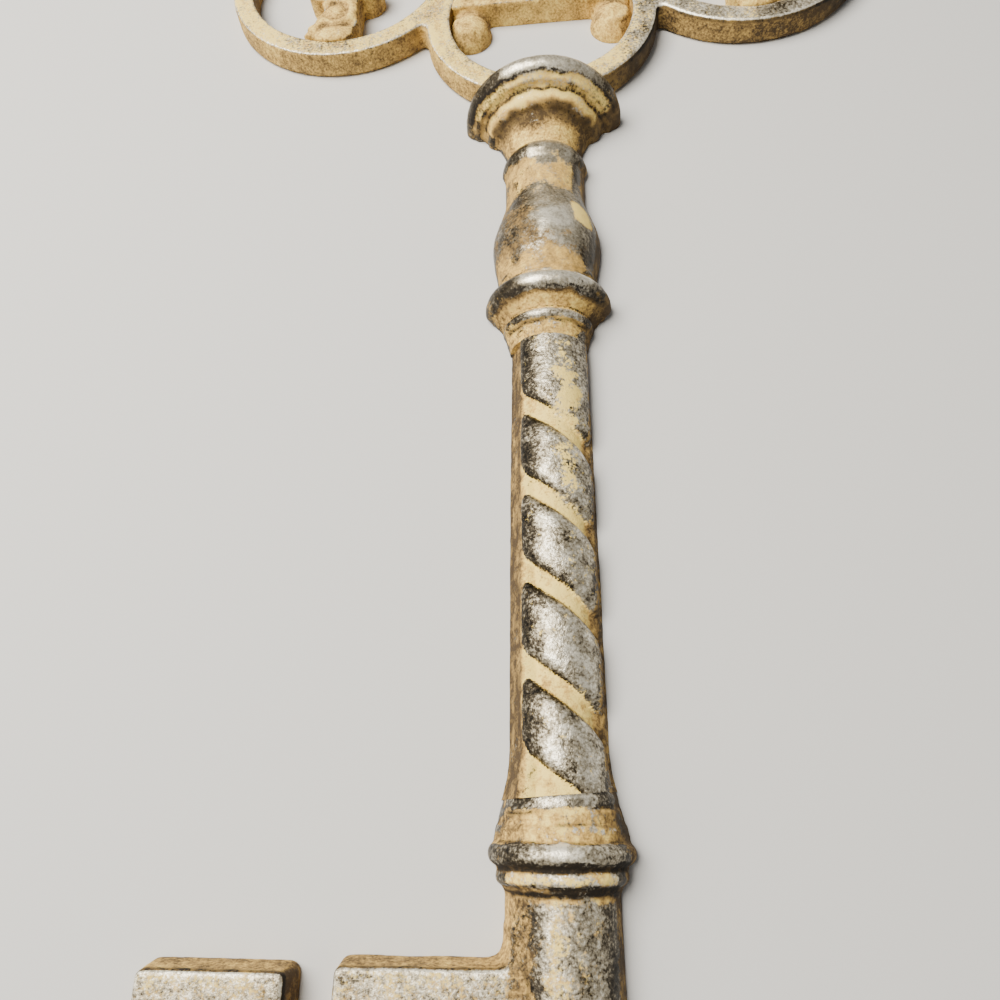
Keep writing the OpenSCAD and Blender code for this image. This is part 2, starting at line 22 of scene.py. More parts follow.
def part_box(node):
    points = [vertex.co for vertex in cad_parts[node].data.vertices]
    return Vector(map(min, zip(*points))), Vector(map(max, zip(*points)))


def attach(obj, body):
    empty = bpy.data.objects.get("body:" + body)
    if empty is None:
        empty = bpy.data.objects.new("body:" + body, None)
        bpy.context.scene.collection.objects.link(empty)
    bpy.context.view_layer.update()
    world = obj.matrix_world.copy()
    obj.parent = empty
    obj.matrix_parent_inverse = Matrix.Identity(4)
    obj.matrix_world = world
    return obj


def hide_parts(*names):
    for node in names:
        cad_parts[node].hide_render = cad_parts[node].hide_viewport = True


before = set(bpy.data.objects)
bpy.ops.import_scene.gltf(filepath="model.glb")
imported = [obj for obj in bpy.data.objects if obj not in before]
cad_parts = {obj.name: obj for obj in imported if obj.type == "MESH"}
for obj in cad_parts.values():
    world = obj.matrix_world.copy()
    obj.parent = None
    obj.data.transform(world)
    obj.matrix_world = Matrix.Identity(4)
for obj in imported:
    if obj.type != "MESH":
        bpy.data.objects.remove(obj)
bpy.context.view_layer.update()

LOG = logging.getLogger("skeleton_key")
MM = 0.001
BODY = "root"
MASK_LIMITS = (-0.3, 1.2)
CUT_TOLERANCE = 1e-7


class Slot(Enum):
    """Material slots of the record that the finishes belong to."""

    PALE = "worn_pale_iron"
    OCHRE = "ochre_washed_iron"
    DARK = "dark_worn_iron"


class Mask(Enum):
    """What is painted on the points of a casting, each about from 0 to 1.

    One mask says how much of the surface the ochre wash covers, and one how much near-black covers it, which
    stands for grime and for painted shade in creases, under rings and on shaded sides. One says how bright
    the bare iron is, from wear and from painted highlights where the light falls, and one how pale the wash
    is, which painted light raises in lit places and painted shade lowers on shaded sides.
    """

    WASH = "wash"
    WORN = "worn"
    CREAM = "cream"
    SOOT = "soot"


def linear_colour(code: str) -> tuple[float, float, float, float]:
    """Turns an sRGB hex colour into the linear one that shaders take.

    Args:
        code: Six hex digits after a hash sign.

    Returns:
        Red, green, blue and alpha.
    """
    parts = [int(code[i:i + 2], 16) / 255 for i in (1, 3, 5)]
    curve = [p / 12.92 if p <= 0.04045 else ((p + 0.055) / 1.055) ** 2.4 for p in parts]
    return (curve[0], curve[1], curve[2], 1.0)


def add_node(tree: bpy.types.NodeTree, kind: str, inputs: dict | None = None,
             **settings: str | bool) -> bpy.types.NodeOutputs:
    """Adds one node to a tree, with its settings and with what feeds its inputs.

    Args:
        tree: Tree that gets the node.
        kind: Blender's name of the node's type.
        inputs: Value, output socket or list of them for each input, by the input's name or number.
        **settings: Properties of the node.

    Returns:
        The node's outputs.
    """
    node = tree.nodes.new(kind)
    for name, value in settings.items():
        setattr(node, name, value)
    for socket, value in (inputs or {}).items():
        sources = value if isinstance(value, list) else [value]
        if isinstance(sources[0], bpy.types.NodeSocket):
            for source in sources:
                tree.links.new(source, node.inputs[socket])
        else:
            node.inputs[socket].default_value = value
    return node.outputs


def open_tree(name: str, inputs: dict[str, str]) -> tuple[bpy.types.NodeTree, bpy.types.NodeOutputs]:
    """Opens a geometry tree with named inputs.

    Args:
        name: Name of the tree.
        inputs: Kind of each input's socket, by the input's name.

    Returns:
        The tree, and the sockets that give its inputs.
    """
    tree = bpy.data.node_groups.new(name, "GeometryNodeTree")
    tree.interface.new_socket("Geometry", in_out="OUTPUT", socket_type="NodeSocketGeometry")
    for label, kind in inputs.items():
        tree.interface.new_socket(label, in_out="INPUT", socket_type="NodeSocket" + kind)
    return tree, add_node(tree, "NodeGroupInput")


def close_tree(tree: bpy.types.NodeTree, shape: bpy.types.NodeSocket, material: bpy.types.NodeSocket) -> None:
    """Ends a geometry tree: its instances are made real and get their material.

    Args:
        tree: The tree.
        shape: What gives its shape.
        material: What gives its material.
    """
    real = add_node(tree, "GeometryNodeRealizeInstances", {"Geometry": shape})[0]
    dressed = add_node(tree, "GeometryNodeSetMaterial", {"Geometry": real, "Material": material})[0]
    add_node(tree, "NodeGroupOutput", {"Geometry": dressed})


def run_tree(tree: bpy.types.NodeTree, values: dict) -> bpy.types.Mesh:
    """Runs a geometry tree on an empty object.

    Args:
        tree: The tree.
        values: Value of each input, by the input's name.

    Returns:
        The result as a plain mesh.
    """
    holder = bpy.data.objects.new(tree.name, bpy.data.meshes.new(tree.name))
    bpy.context.scene.collection.objects.link(holder)
    modifier = holder.modifiers.new(tree.name, "NODES")
    modifier.node_group = tree
    for item in tree.interface.items_tree:
        if item.name in values:
            modifier[item.identifier] = values[item.name]
    mesh = bpy.data.meshes.new_from_object(holder.evaluated_get(bpy.context.evaluated_depsgraph_get()))
    bpy.data.objects.remove(holder)
    return mesh


def new_mesh(name: str, points: Iterable, faces: Iterable,
             masks: dict[Mask, np.ndarray] | None = None) -> bpy.types.Mesh:
    """Makes a mesh, with its masks as attributes.

    Args:
        name: Name of the mesh.
        points: Place of each point.
        faces: The points of each face.
        masks: Each mask's value at each point.

    Returns:
        The mesh.
    """
    mesh = bpy.data.meshes.new(name)
    mesh.from_pydata(points, [], faces, shade_flat=False)
    for mask, values in (masks or {}).items():
        layer = mesh.attributes.new(mask.value, "FLOAT", "POINT")
        layer.data.foreach_set("value", np.clip(values, *MASK_LIMITS).astype(np.float32))
    return mesh


def span(node: str) -> tuple[float, float]:
    """Gives a node's lowest and highest place along the shank, in millimetres."""
    low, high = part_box(node)
    return low.y / MM, high.y / MM


def smooth_step(low: float, high: float, value: np.ndarray) -> np.ndarray:
    """Rises smoothly from 0 to 1 as the value goes from low to high."""
    share = np.clip((value - low) / (high - low), 0, 1)
    return share * share * (3 - 2 * share)


def joined(one: np.ndarray, other: np.ndarray, fillet: float) -> np.ndarray:
    """Joins two distance fields, with a fillet of about that size where they meet."""
    share = np.clip(0.5 + 0.5 * (other - one) / fillet, 0, 1)
    return other + (one - other) * share - fillet * share * (1 - share)


def common(one: np.ndarray, other: np.ndarray, rounding: float) -> np.ndarray:
    """Keeps what two distance fields share, with a rounded edge of about that size."""
    return -joined(-one, -other, rounding)


def disc(x: np.ndarray, y: np.ndarray, centre: tuple[float, float], radius: float) -> np.ndarray:
    """Gives the distance from a disc in a plane."""
    return np.hypot(x - centre[0], y - centre[1]) - radius


def rectangle(x: np.ndarray, y: np.ndarray, low: tuple[float, float], high: tuple[float, float],
              corner: float = 0.0) -> np.ndarray:
    """Gives the distance from a rectangle with round corners.

    Args:
        x: Places across.
        y: Places along.
        low: Lower left corner.
        high: Upper right corner.
        corner: Radius of the corners.

    Returns:
        Distance at each place.
    """
    across = np.abs(x - (low[0] + high[0]) / 2) - ((high[0] - low[0]) / 2 - corner)
    along = np.abs(y - (low[1] + high[1]) / 2) - ((high[1] - low[1]) / 2 - corner)
    outside = np.hypot(np.maximum(across, 0), np.maximum(along, 0))
    return outside + np.minimum(np.maximum(across, along), 0) - corner


def arc(u: np.ndarray, v: np.ndarray, centre: tuple[float, float], radius: float, start_deg: float,
        turn_deg: float) -> np.ndarray:
    """Gives the distance from an arc in a plane.

    Args:
        u: Places across.
        v: Places along.
        centre: The arc's centre.
        radius: The arc's radius.
        start_deg: Angle at which it starts.
        turn_deg: Angle through which it turns.

    Returns:
        Distance at each place.
    """
    across, along = u - centre[0], v - centre[1]
    turned = (np.degrees(np.arctan2(along, across)) - start_deg) % 360
    ends = np.inf
    for angle in (start_deg, start_deg + turn_deg):
        x, y = radius * math.cos(math.radians(angle)), radius * math.sin(math.radians(angle))
        ends = np.minimum(ends, np.hypot(across - x, along - y))
    return np.where(turned <= turn_deg, np.abs(np.hypot(across, along) - radius), ends)


def segment(u: np.ndarray, v: np.ndarray, start: tuple[float, float], end: tuple[float, float]) -> np.ndarray:
    """Gives the distance from a straight line between two points in a plane.

    Args:
        u: Places across.
        v: Places along.
        start: One end.
        end: The other end.

    Returns:
        Distance at each place.
    """
    way = (end[0] - start[0], end[1] - start[1])
    share = ((u - start[0]) * way[0] + (v - start[1]) * way[1]) / (way[0] ** 2 + way[1] ** 2)
    share = np.clip(share, 0, 1)
    return np.hypot(u - start[0] - share * way[0], v - start[1] - share * way[1])


def crown(away: np.ndarray, z: np.ndarray, face: float | np.ndarray, half_width: float,
          height: float) -> np.ndarray:
    """Gives the distance from a round ridge or dome that stands on a face.

    Args:
        away: Distance in the plane from the ridge's middle line, or from the dome's centre.
        z: Heights.
        face: Height of the face, the same everywhere or one for each place.
        half_width: Half the ridge's width, or the dome's radius.
        height: How far it stands out of the face.

    Returns:
        Distance at each place.
    """
    return (np.hypot(away / half_width, (z - face) / height) - 1) * min(half_width, height)


@dataclass
class Lumps:
    """Smooth random field on a lattice, the same on every run."""

    seed: int
    side: int = 48
    table: np.ndarray = field(init=False, repr=False)

    def __post_init__(self) -> None:
        """Fills the lattice from the seed."""
        self.table = np.random.default_rng(self.seed).random((self.side,) * 3)

    def at(self, points: np.ndarray, size: float | Sequence[float]) -> np.ndarray:
        """Reads the field.

        Args:
            points: Places in millimetres, one row each.
            size: Size of a lump in millimetres, the same every way or one for each axis.

        Returns:
            A value from 0 to 1 for each place.
        """
        cell = points / np.asarray(size)
        low = np.floor(cell).astype(int)
        share = cell - low
        share = share * share * (3 - 2 * share)
        total = np.zeros(len(points))
        for corner in itertools.product((0, 1), repeat=3):
            near = (low + corner) % self.side
            weight = np.where(corner, share, 1 - share).prod(axis=1)
            total += weight * self.table[near[:, 0], near[:, 1], near[:, 2]]
        return total


SAND = Lumps(seed=11)


@dataclass(frozen=True)
class Plane:
    """A flat cut: what lies on the side that the normal points to is taken away."""

    point: tuple[float, float, float]
    normal: tuple[float, float, float]

    def beyond(self, points: np.ndarray) -> np.ndarray:
        """Gives how far each point lies beyond the plane."""
        return (points - self.point) @ np.asarray(self.normal)


def above(y: float, tilt_deg: float = 0.0) -> Plane:
    """Gives the cut that takes away what lies above a station of the shank, level or tilted."""
    tilt = math.radians(tilt_deg)
    return Plane((0, y, 0), (-math.sin(tilt), math.cos(tilt), 0))


def below(y: float, tilt_deg: float = 0.0) -> Plane:
    """Gives the cut that takes away what lies below a station of the shank, level or tilted."""
    tilt = math.radians(tilt_deg)
    return Plane((0, y, 0), (math.sin(tilt), -math.cos(tilt), 0))


@dataclass
class Surface:
    """Mesh of a casting in millimetres, with what the painting needs to know at each point."""

    points: np.ndarray
    faces: np.ndarray
    normals: np.ndarray = field(init=False)
    relief: np.ndarray = field(init=False)
    masks: dict[Mask, np.ndarray] = field(init=False)
    relief_rounds: int = 24

    def __post_init__(self) -> None:
        """Works out the normals and how far each point stands out of its surroundings."""
        self.masks = {mask: np.zeros(len(self.points)) for mask in Mask}
        mesh = new_mesh("measure", self.points, self.faces)
        self.normals = np.empty(len(mesh.vertices) * 3, np.float32)
        mesh.vertex_normals.foreach_get("vector", self.normals)
        self.normals = self.normals.reshape(-1, 3)
        edges = np.empty(len(mesh.edges) * 2, np.int32)
        mesh.edges.foreach_get("vertices", edges)
        bpy.data.meshes.remove(mesh)
        ends = edges.reshape(-1, 2)
        starts = np.concatenate([ends[:, 0], ends[:, 1]])
        others = np.concatenate([ends[:, 1], ends[:, 0]])
        count = np.maximum(np.bincount(starts, minlength=len(self.points)), 1)
        smooth = self.points.copy()
        for _ in range(self.relief_rounds):
            for axis in range(3):
                total = np.bincount(starts, smooth[others, axis], minlength=len(smooth))
                smooth[:, axis] = total / count
        self.relief = ((self.points - smooth) * self.normals).sum(axis=1)

    @classmethod
    def of_mesh(cls, mesh: bpy.types.Mesh) -> "Surface":
        """Reads a mesh in metres as triangles.

        Args:
            mesh: The mesh.

        Returns:
            The surface.
        """
        points = np.empty(len(mesh.vertices) * 3, np.float32)
        mesh.vertices.foreach_get("co", points)
        mesh.calc_loop_triangles()
        triangles = np.empty(len(mesh.loop_triangles) * 3, np.int32)
        mesh.loop_triangles.foreach_get("vertices", triangles)
        return cls(points.reshape(-1, 3).astype(float) / MM, triangles.reshape(-1, 3))

    def cut_out(self, name: str, cuts: Iterable[Plane], margin: float = 2.0) -> bpy.types.Object:
        """Cuts one piece out of the casting and closes it with flat ends.

        Args:
            name: Name of the piece.
            cuts: Planes that bound it.
            margin: How far beyond a plane faces are looked at.

        Returns:
            The piece, with its place in its mesh.
        """
        cuts = list(cuts)
        near = np.ones(len(self.points), bool)
        for plane in cuts:
            near &= plane.beyond(self.points) < margin
        kept = self.faces[near[self.faces].all(axis=1)]
        used, flat = np.unique(kept, return_inverse=True)
        masks = {mask: values[used] for mask, values in self.masks.items()}
        mesh = new_mesh(name, self.points[used] * MM, flat.reshape(kept.shape), masks)
        shell = bmesh.new()
        shell.from_mesh(mesh)
        for plane in cuts:
            result = bmesh.ops.bisect_plane(
                shell, geom=[*shell.verts, *shell.edges, *shell.faces], dist=CUT_TOLERANCE,
                plane_co=Vector(plane.point) * MM, plane_no=plane.normal, clear_outer=True)
            rim = [e for e in result["geom_cut"] if isinstance(e, bmesh.types.BMEdge) and e.is_boundary]
            bmesh.ops.holes_fill(shell, edges=rim, sides=0)
            for edge in rim:
                edge.smooth = False
        bmesh.ops.recalc_face_normals(shell, faces=shell.faces)
        shell.to_mesh(mesh)
        shell.free()
        piece = bpy.data.objects.new(name, mesh)
        bpy.context.scene.collection.objects.link(piece)
        return piece


@dataclass
class Block:
    """Box of sample points in which a form is cast, in millimetres."""

    low: tuple[float, float, float]
    high: tuple[float, float, float]
    step: float
    back_snap: float = 0.3
    far_steps: float = 3.0
    x: np.ndarray = field(init=False, repr=False)
    y: np.ndarray = field(init=False, repr=False)
    z: np.ndarray = field(init=False, repr=False)

    def __post_init__(self) -> None:
        """Lays out the samples on one lattice, half a step off the flat back."""
        ranges = [
            (np.arange(math.floor(lo / self.step), math.ceil(hi / self.step) + 1) + 0.5) * self.step
            for lo, hi in zip(self.low, self.high)
        ]
        self.low = tuple(r[0] for r in ranges)
        self.x, self.y, self.z = np.meshgrid(*ranges, indexing="ij", sparse=True)

    def cast(self, distance: np.ndarray) -> Surface:
        """Meshes the form whose distances are given at the sample points.

        Args:
            distance: Distance from the form in millimetres, negative inside.

        Returns:
            The form's surface.
        """
        shape = (self.x.size, self.y.size, self.z.size)
        grid = openvdb.FloatGrid(self.far_steps * self.step)
        grid.copyFromArray(np.ascontiguousarray(np.broadcast_to(distance, shape), dtype=np.float32))
        grid.transform = openvdb.createLinearTransform(voxelSize=self.step)
        points, quads = grid.convertToQuads(isovalue=0.0)
        points = points + np.asarray(self.low)
        a, b, c = (points[quads[:, i]] for i in range(3))
        if (a * np.cross(b, c)).sum() < 0:
            quads = quads[:, ::-1]
        points[np.abs(points[:, 2]) < self.back_snap * self.step, 2] = 0
        return Surface(points, quads)


def plate(z: np.ndarray, walls: np.ndarray, height: float, rounding: float) -> np.ndarray:
    """Gives the distance from a flat-backed plate.

    Args:
        z: Heights.
        walls: Distance from the walls at each place.
        height: Height of the face.
        rounding: Size of the rounded edge between walls and face.

    Returns:
        Distance at each place.
    """
    return np.maximum(common(walls, z - height, rounding), -z)


@dataclass(frozen=True)
class CastFinish:
    """Sand-cast iron with rubbed-in ochre wash.

    Grey iron cast in sand keeps a grain of about half a millimetre. It was washed with a matt ochre paint
    that stays in the hollows and goes pale where it is thick. Handling rubbed the high spots bare, so the
    grain there shows silver. Its colours also carry painted light: brighter iron where light falls on crests,
    and near-black for grime and for painted shade in creases and on shaded sides.
    """

    name: str
    slot: Slot
    # Tones of the iron from dark to silver to a near-white glint; the bright tones also serve as painted
    # highlights where the light falls.
    iron: tuple[str, ...] = ("#15120e", "#453e32", "#aea591", "#fdf8e8")
    wash: tuple[str, ...] = ("#4c3c26", "#957948", "#d6b062", "#ffe384")
    stops: tuple[float, ...] = (0.05, 0.35, 0.65, 1.0)
    # Near-black for grime and for painted shade in creases, under rings and on shaded sides.
    soot: str = "#1d1710"
    grain_mm: float = 0.55
    blotch_mm: float = 3.5
    grain_depth_mm: float = 0.12
    ragged_grain: float = 1.8
    ragged_blotch: float = 1.2
    grime_shade_grain: float = 1.5
    grime_shade_blotch: float = 0.7
    grime_shade_edge: float = 0.34
    tone_grain: float = 1.3
    tone_blotch: float = 0.9
    edge: float = 0.16
    threshold: float = 0.55
    metallic_bare: float = 0.6
    roughness_bare: float = 0.42
    roughness_wash: float = 0.82
    sheen_of_paint: float = 0.3

    def build(self) -> bpy.types.Material:
        """Builds the material.

        Returns:
            The material, which reads the masks painted on the piece.
        """
        material = bpy.data.materials.new(self.name)
        material.use_nodes = True
        tree = material.node_tree
        tree.nodes.clear()
        place = add_node(tree, "ShaderNodeTexCoord")["Object"]
        grains = add_node(tree, "ShaderNodeTexNoise", {
            "Vector": place, "Scale": 1 / (self.grain_mm * MM), "Detail": 3.0, "Roughness": 0.65})
        blotches = add_node(tree, "ShaderNodeTexNoise", {
            "Vector": place, "Scale": 1 / (self.blotch_mm * MM), "Detail": 4.0, "Roughness": 0.6})
        fine = add_node(tree, "ShaderNodeSeparateColor", {0: grains["Color"]})
        broad = add_node(tree, "ShaderNodeSeparateColor", {0: blotches["Color"]})

        def uneven(mask: Mask, channel: int, by_grain: float, by_blotch: float) -> bpy.types.NodeSocket:
            """Adds the grain and the blotches to a painted mask, with no change to its mean.

            Args:
                mask: The mask.
                channel: Which colour channel of the noises moves it.
                by_grain: How much the grain moves it.
                by_blotch: How much the blotches move it.

            Returns:
                The uneven mask.
            """
            painted = add_node(tree, "ShaderNodeAttribute", attribute_name=mask.value)["Fac"]
            lowered = add_node(tree, "ShaderNodeMath", {0: painted, 1: (by_grain + by_blotch) / 2},
                               operation="SUBTRACT")[0]
            part = add_node(tree, "ShaderNodeMath", {0: fine[channel], 1: by_grain, 2: lowered},
                            operation="MULTIPLY_ADD")[0]
            return add_node(tree, "ShaderNodeMath", {0: broad[channel], 1: by_blotch, 2: part},
                            operation="MULTIPLY_ADD")[0]

        cover = {}
        for mask, channel, by_grain, by_blotch, edge in (
            (Mask.WASH, 1, self.ragged_grain, self.ragged_blotch, self.edge),
            (Mask.SOOT, 2, self.grime_shade_grain, self.grime_shade_blotch, self.grime_shade_edge),
        ):
            cover[mask] = add_node(tree, "ShaderNodeMapRange", {
                "Value": uneven(mask, channel, by_grain, by_blotch),
                1: self.threshold - edge, 2: self.threshold + edge},
                interpolation_type="SMOOTHSTEP")[0]
        tone = {}
        for mask, channel, colours in ((Mask.WORN, 0, self.iron), (Mask.CREAM, 2, self.wash)):
            ramp = add_node(tree, "ShaderNodeValToRGB", {
                0: uneven(mask, channel, self.tone_grain, self.tone_blotch)})
            points = ramp["Color"].node.color_ramp.elements
            for stop in self.stops[1:-1]:
                points.new(stop)
            for point, stop, colour in zip(points, self.stops, colours):
                point.position = stop
                point.color = linear_colour(colour)
            tone[mask] = ramp["Color"]
        colour = add_node(tree, "ShaderNodeMix", {
            0: cover[Mask.WASH], 6: tone[Mask.WORN], 7: tone[Mask.CREAM]}, data_type="RGBA")[2]
        # Near-black goes over the top where grime and painted shade cover.
        colour = add_node(tree, "ShaderNodeMix", {
            0: cover[Mask.SOOT], 6: colour, 7: linear_colour(self.soot)}, data_type="RGBA")[2]
        painted_over = add_node(tree, "ShaderNodeMath", {0: cover[Mask.WASH], 1: cover[Mask.SOOT]},
                                operation="MAXIMUM")[0]
        metallic = add_node(tree, "ShaderNodeMapRange", {
            "Value": painted_over, 3: self.metallic_bare, 4: 0.0})[0]
        roughness = add_node(tree, "ShaderNodeMapRange", {
            "Value": painted_over, 3: self.roughness_bare, 4: self.roughness_wash})[0]
        bump = add_node(tree, "ShaderNodeBump", {
            "Distance": self.grain_depth_mm * MM, "Height": grains["Fac"]})[0]
        shader = add_node(tree, "ShaderNodeBsdfPrincipled", {
            "Base Color": colour, "Metallic": metallic, "Roughness": roughness,
            "Specular IOR Level": self.sheen_of_paint, "Normal": bump})[0]
        add_node(tree, "ShaderNodeOutputMaterial", {"Surface": shader})
        return material


@dataclass
class Foundry:
    """What all pieces of the casting share: the sampling step, the sand's depth and the finishes."""

    step: float
    swell_size: float = 6.0
    swell_depth: float = 0.16
    pit_size: float = 1.1
    pit_depth: float = 0.1
    back_tolerance: float = 0.05
    finishes: dict[Slot, bpy.types.Material] = field(default_factory=dict)
    handled: bpy.types.Material = field(init=False)

    def __post_init__(self) -> None:
        """Builds one material for each slot of the record, and one for handled places."""
        for finish in (
            # Pale rubbed castings: the wash is thin and creamy, so wash and iron run softly into each other.
            CastFinish("pale_rubbed_cast_iron", Slot.PALE, ragged_grain=1.6, ragged_blotch=0.6,
                       tone_grain=1.5, tone_blotch=0.5, edge=0.24),
            # Ochre-washed castings: matt and chalky, with a soft cover and few bare grains.
            CastFinish("ochre_washed_cast_iron", Slot.OCHRE, ragged_grain=1.5, tone_grain=1.5,
                       roughness_wash=0.88),
            # Dark worn castings: handled most, so the bare grain is glossier and sharply speckled.
            CastFinish("dark_worn_cast_iron", Slot.DARK, tone_grain=1.5, grime_shade_blotch=0.5,
                       roughness_bare=0.36, metallic_bare=0.7, grain_depth_mm=0.17),
        ):
            self.finishes[finish.slot] = finish.build()
        # Handled castings: the same dark iron round the cup and the vase, rubbed until its grain is faint.
        self.handled = CastFinish("handled_dark_cast_iron", Slot.DARK, ragged_grain=1.3, tone_grain=0.8,
                                  tone_blotch=0.5, grime_shade_blotch=0.4, edge=0.24, roughness_bare=0.36,
                                  metallic_bare=0.7, grain_depth_mm=0.06).build()

    def roughen(self, surface: Surface) -> None:
        """Sinks a surface's points a little, as the sand leaves them; the flat back stays flat.

        Args:
            surface: The surface.
        """
        points = surface.points
        swells = self.swell_depth * SAND.at(points, self.swell_size)
        depth = swells + self.pit_depth * SAND.at(points, self.pit_size)
        on_back = points[:, 2] < self.back_tolerance
        surface.points = points - surface.normals * depth[:, None]
        surface.points[on_back | (surface.points[:, 2] < 0), 2] = 0

    def cast_plate(self, block: Block, distance: np.ndarray, nodes: Sequence[str], slot: Slot, height: float,
                   name: str = "") -> None:
        """Makes one flat-backed piece from its distance field, painted as a plate.

        Args:
            block: Sample points.
            distance: Distance at each sample point.
            nodes: CAD nodes that it stands for.
            slot: The record's slot that it takes its finish from.
            height: Height of the face that the paint goes by.
            name: Name of the piece, where the first node's doesn't fit.
        """
        surface = block.cast(distance)
        PlatePaint(height, line=0.0, face_wash=0.95, face_cream=0.52, wall_cream=0.64, rim_highlight_and_wear=0.7,
                   shade=0.12, mottle=0.4, speckled=0.4).lay(surface)
        self.roughen(surface)
        self.finish_piece(surface, [], nodes, slot, name=name)

    def finish_piece(self, surface: Surface, cuts: Iterable[Plane], nodes: Sequence[str], slot: Slot,
                     handled: bool = False, name: str = "") -> None:
        """Cuts one piece out of a surface, dresses it and ties it to the frame.

        Args:
            surface: Surface of the casting.
            cuts: Planes that bound the piece.
            nodes: CAD nodes that it stands for.
            slot: The record's slot that it takes its finish from.
            handled: Whether hands have rubbed it smooth.
            name: Name of the piece, where the first node's doesn't fit.
        """
        piece = surface.cut_out((name or nodes[0]) + "_cast", cuts)
        piece.data.materials.append(self.handled if handled else self.finishes[slot])
        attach(piece, BODY)
        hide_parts(*nodes)
        LOG.info("%s: %d faces, stands for %s", piece.name, len(piece.data.polygons), ", ".join(nodes))


@dataclass(frozen=True)
class Ring:
    """A rounded ring of the turned shank, from one station to another."""

    low: float
    high: float
    radius: float
    rounding: float
    fade_height: float
    tilt: float = 0.0


@dataclass
class TurnedShank:
    """The turned forms of the shank, from the tip button to the cup, in half relief."""

    button_r: float = 8.2
    tip_ring_r: float = 10.8
    shank_r: float = 9.1
    end_bead: tuple[float, float] = (0.8, 9.8)
    under_band: tuple[float, float] = (2.7, 11.0)
    main_ring: tuple[float, float] = (3.6, 12.0)
    lower_band: tuple[float, float] = (2.35, 10.6)
    upper_band: tuple[float, float] = (2.35, 9.85)
    thin_ring_r: float = 9.1
    thin_ring_tilt_deg: float = 4.0
    rope_r: float = 8.1
    foot_flare: float = 0.7
    foot_flare_h: float = 8.0
    throat_neck_r: float = 8.85
    throat_top_r: float = 11.9
    throat_bead_r: float = 10.0
    throat_bead_h: float = 2.3
    throat_bead_y: float = 4.3
    second_r: float = 13.4
    vase_foot_r: float = 10.3
    belly_r: float = 11.9
    belly_y: float = 14.0
    waist_r: float = 9.1
    waist_y: float = 27.0
    vase_beads: tuple[tuple[float, float], ...] = ((1.3, 10.75), (3.2, 10.9))
    vase_bead_h: float = 1.0
    neck_r: float = 9.9
    cone_foot_r: float = 8.4
    cone_top_r: float = 10.8
    lip_r: float = 13.3
    lip_round: float = 1.65
    lip_rise: float = 1.95
    mid_round: float = 1.15
    mid_r: float = 16.4
    rim_r: float = 18.5
    rim_round: float = 2.7
    rim_drop: float = 4.6
    cup_slope: float = 1.3
    cup_crease: float = 0.3
    skirt_lean: float = 0.45
    skirt_h: float = 5.0
    skirt_above_foot: float = 6.0
    skirt_samples: int = 600
    skirt_blur: int = 5
    crease: float = 0.7
    core_lap: float = 1.0
    steepest: float = 2.0

    def core_radius(self, y: np.ndarray) -> np.ndarray:
        """Gives the radius of the shank without its rings.

        Args:
            y: Stations along the shank.

        Returns:
            Radius at each station.
        """
        tip = span("tip_button")[0]
        rope = span("rope_shank")
        throat = span("throat")
        vase = span("vase")
        cone = span("hollow_cone")
        shank = np.where(
            y < tip + self.button_r,
            np.sqrt(np.maximum(self.button_r ** 2 - (tip + self.button_r - y) ** 2, 0)),
            self.shank_r)
        flare = self.foot_flare * np.clip(1 - (y - rope[0]) / self.foot_flare_h, 0, 1) ** 2
        stations = [
            (throat[0], self.rope_r),
            (throat[0] + self.throat_bead_y - self.throat_bead_h / 2, self.throat_neck_r),
            (throat[0] + self.throat_bead_y + self.throat_bead_h / 2, self.throat_neck_r),
            (throat[1], self.throat_top_r),
            (vase[0] - 1, self.throat_top_r),
            (vase[0], self.vase_foot_r),
        ]
        radius = np.interp(y, [s[0] for s in stations], [s[1] for s in stations])
        radius = np.where(y < rope[0], shank, np.where(y < throat[0], self.rope_r + flare, radius))
        neck = (self.cone_foot_r + self.neck_r) / 2
        for low, high, start, end in (
            (vase[0], vase[0] + self.belly_y, self.vase_foot_r, self.belly_r),
            (vase[0] + self.belly_y, vase[0] + self.waist_y, self.belly_r, self.waist_r),
            (vase[0] + self.waist_y, vase[1], self.waist_r, neck),
        ):
            bend = start + (end - start) * smooth_step(low, high, y)
            radius = np.where((y >= low) & (y < high), bend, radius)
        share = np.clip((y - cone[0]) / (cone[1] - cone[0]), 0, 1)
        hollow = self.cone_foot_r + (self.cone_top_r - self.cone_foot_r) * (1 - np.cos(share * math.pi / 2))
        return np.where(y < vase[1], radius, np.where(y < cone[0], neck, hollow))

    def skirt_half_width(self, y: np.ndarray) -> np.ndarray:
        """Gives half the width of the flared draft skirt at the flat back.

        Args:
            y: Stations along the shank.

        Returns:
            Half width at each station.
        """
        collar = span("lower_collar")
        rope = span("rope_shank")
        second = span("second_collar")
        places = [
            (span("lower_shank")[0], self.shank_r), (collar[0], 9.2), (collar[0] + 2.5, 10.4),
            (collar[0] + 5.5, 11.5), (collar[0] + 8, 11.1), (collar[1], 9.9), (rope[0] + 2, 9.0),
            (rope[0] + 12, 8.2), (rope[1] - 5, 7.7), (rope[1], 7.65), (rope[1] + 3, 8.6),
            (second[0], 10.9), (second[0] + 2, 12.2), (second[1], 10.6), (second[1] + 6, 8.0),
        ]
        fine = np.linspace(places[0][0], places[-1][0], self.skirt_samples)
        widths = np.interp(fine, [p[0] for p in places], [p[1] for p in places])
        window = np.hanning(2 * self.skirt_blur + 1)
        padded = np.pad(widths, self.skirt_blur, mode="edge")
        return np.interp(y, fine, np.convolve(padded, window / window.sum(), mode="valid"))

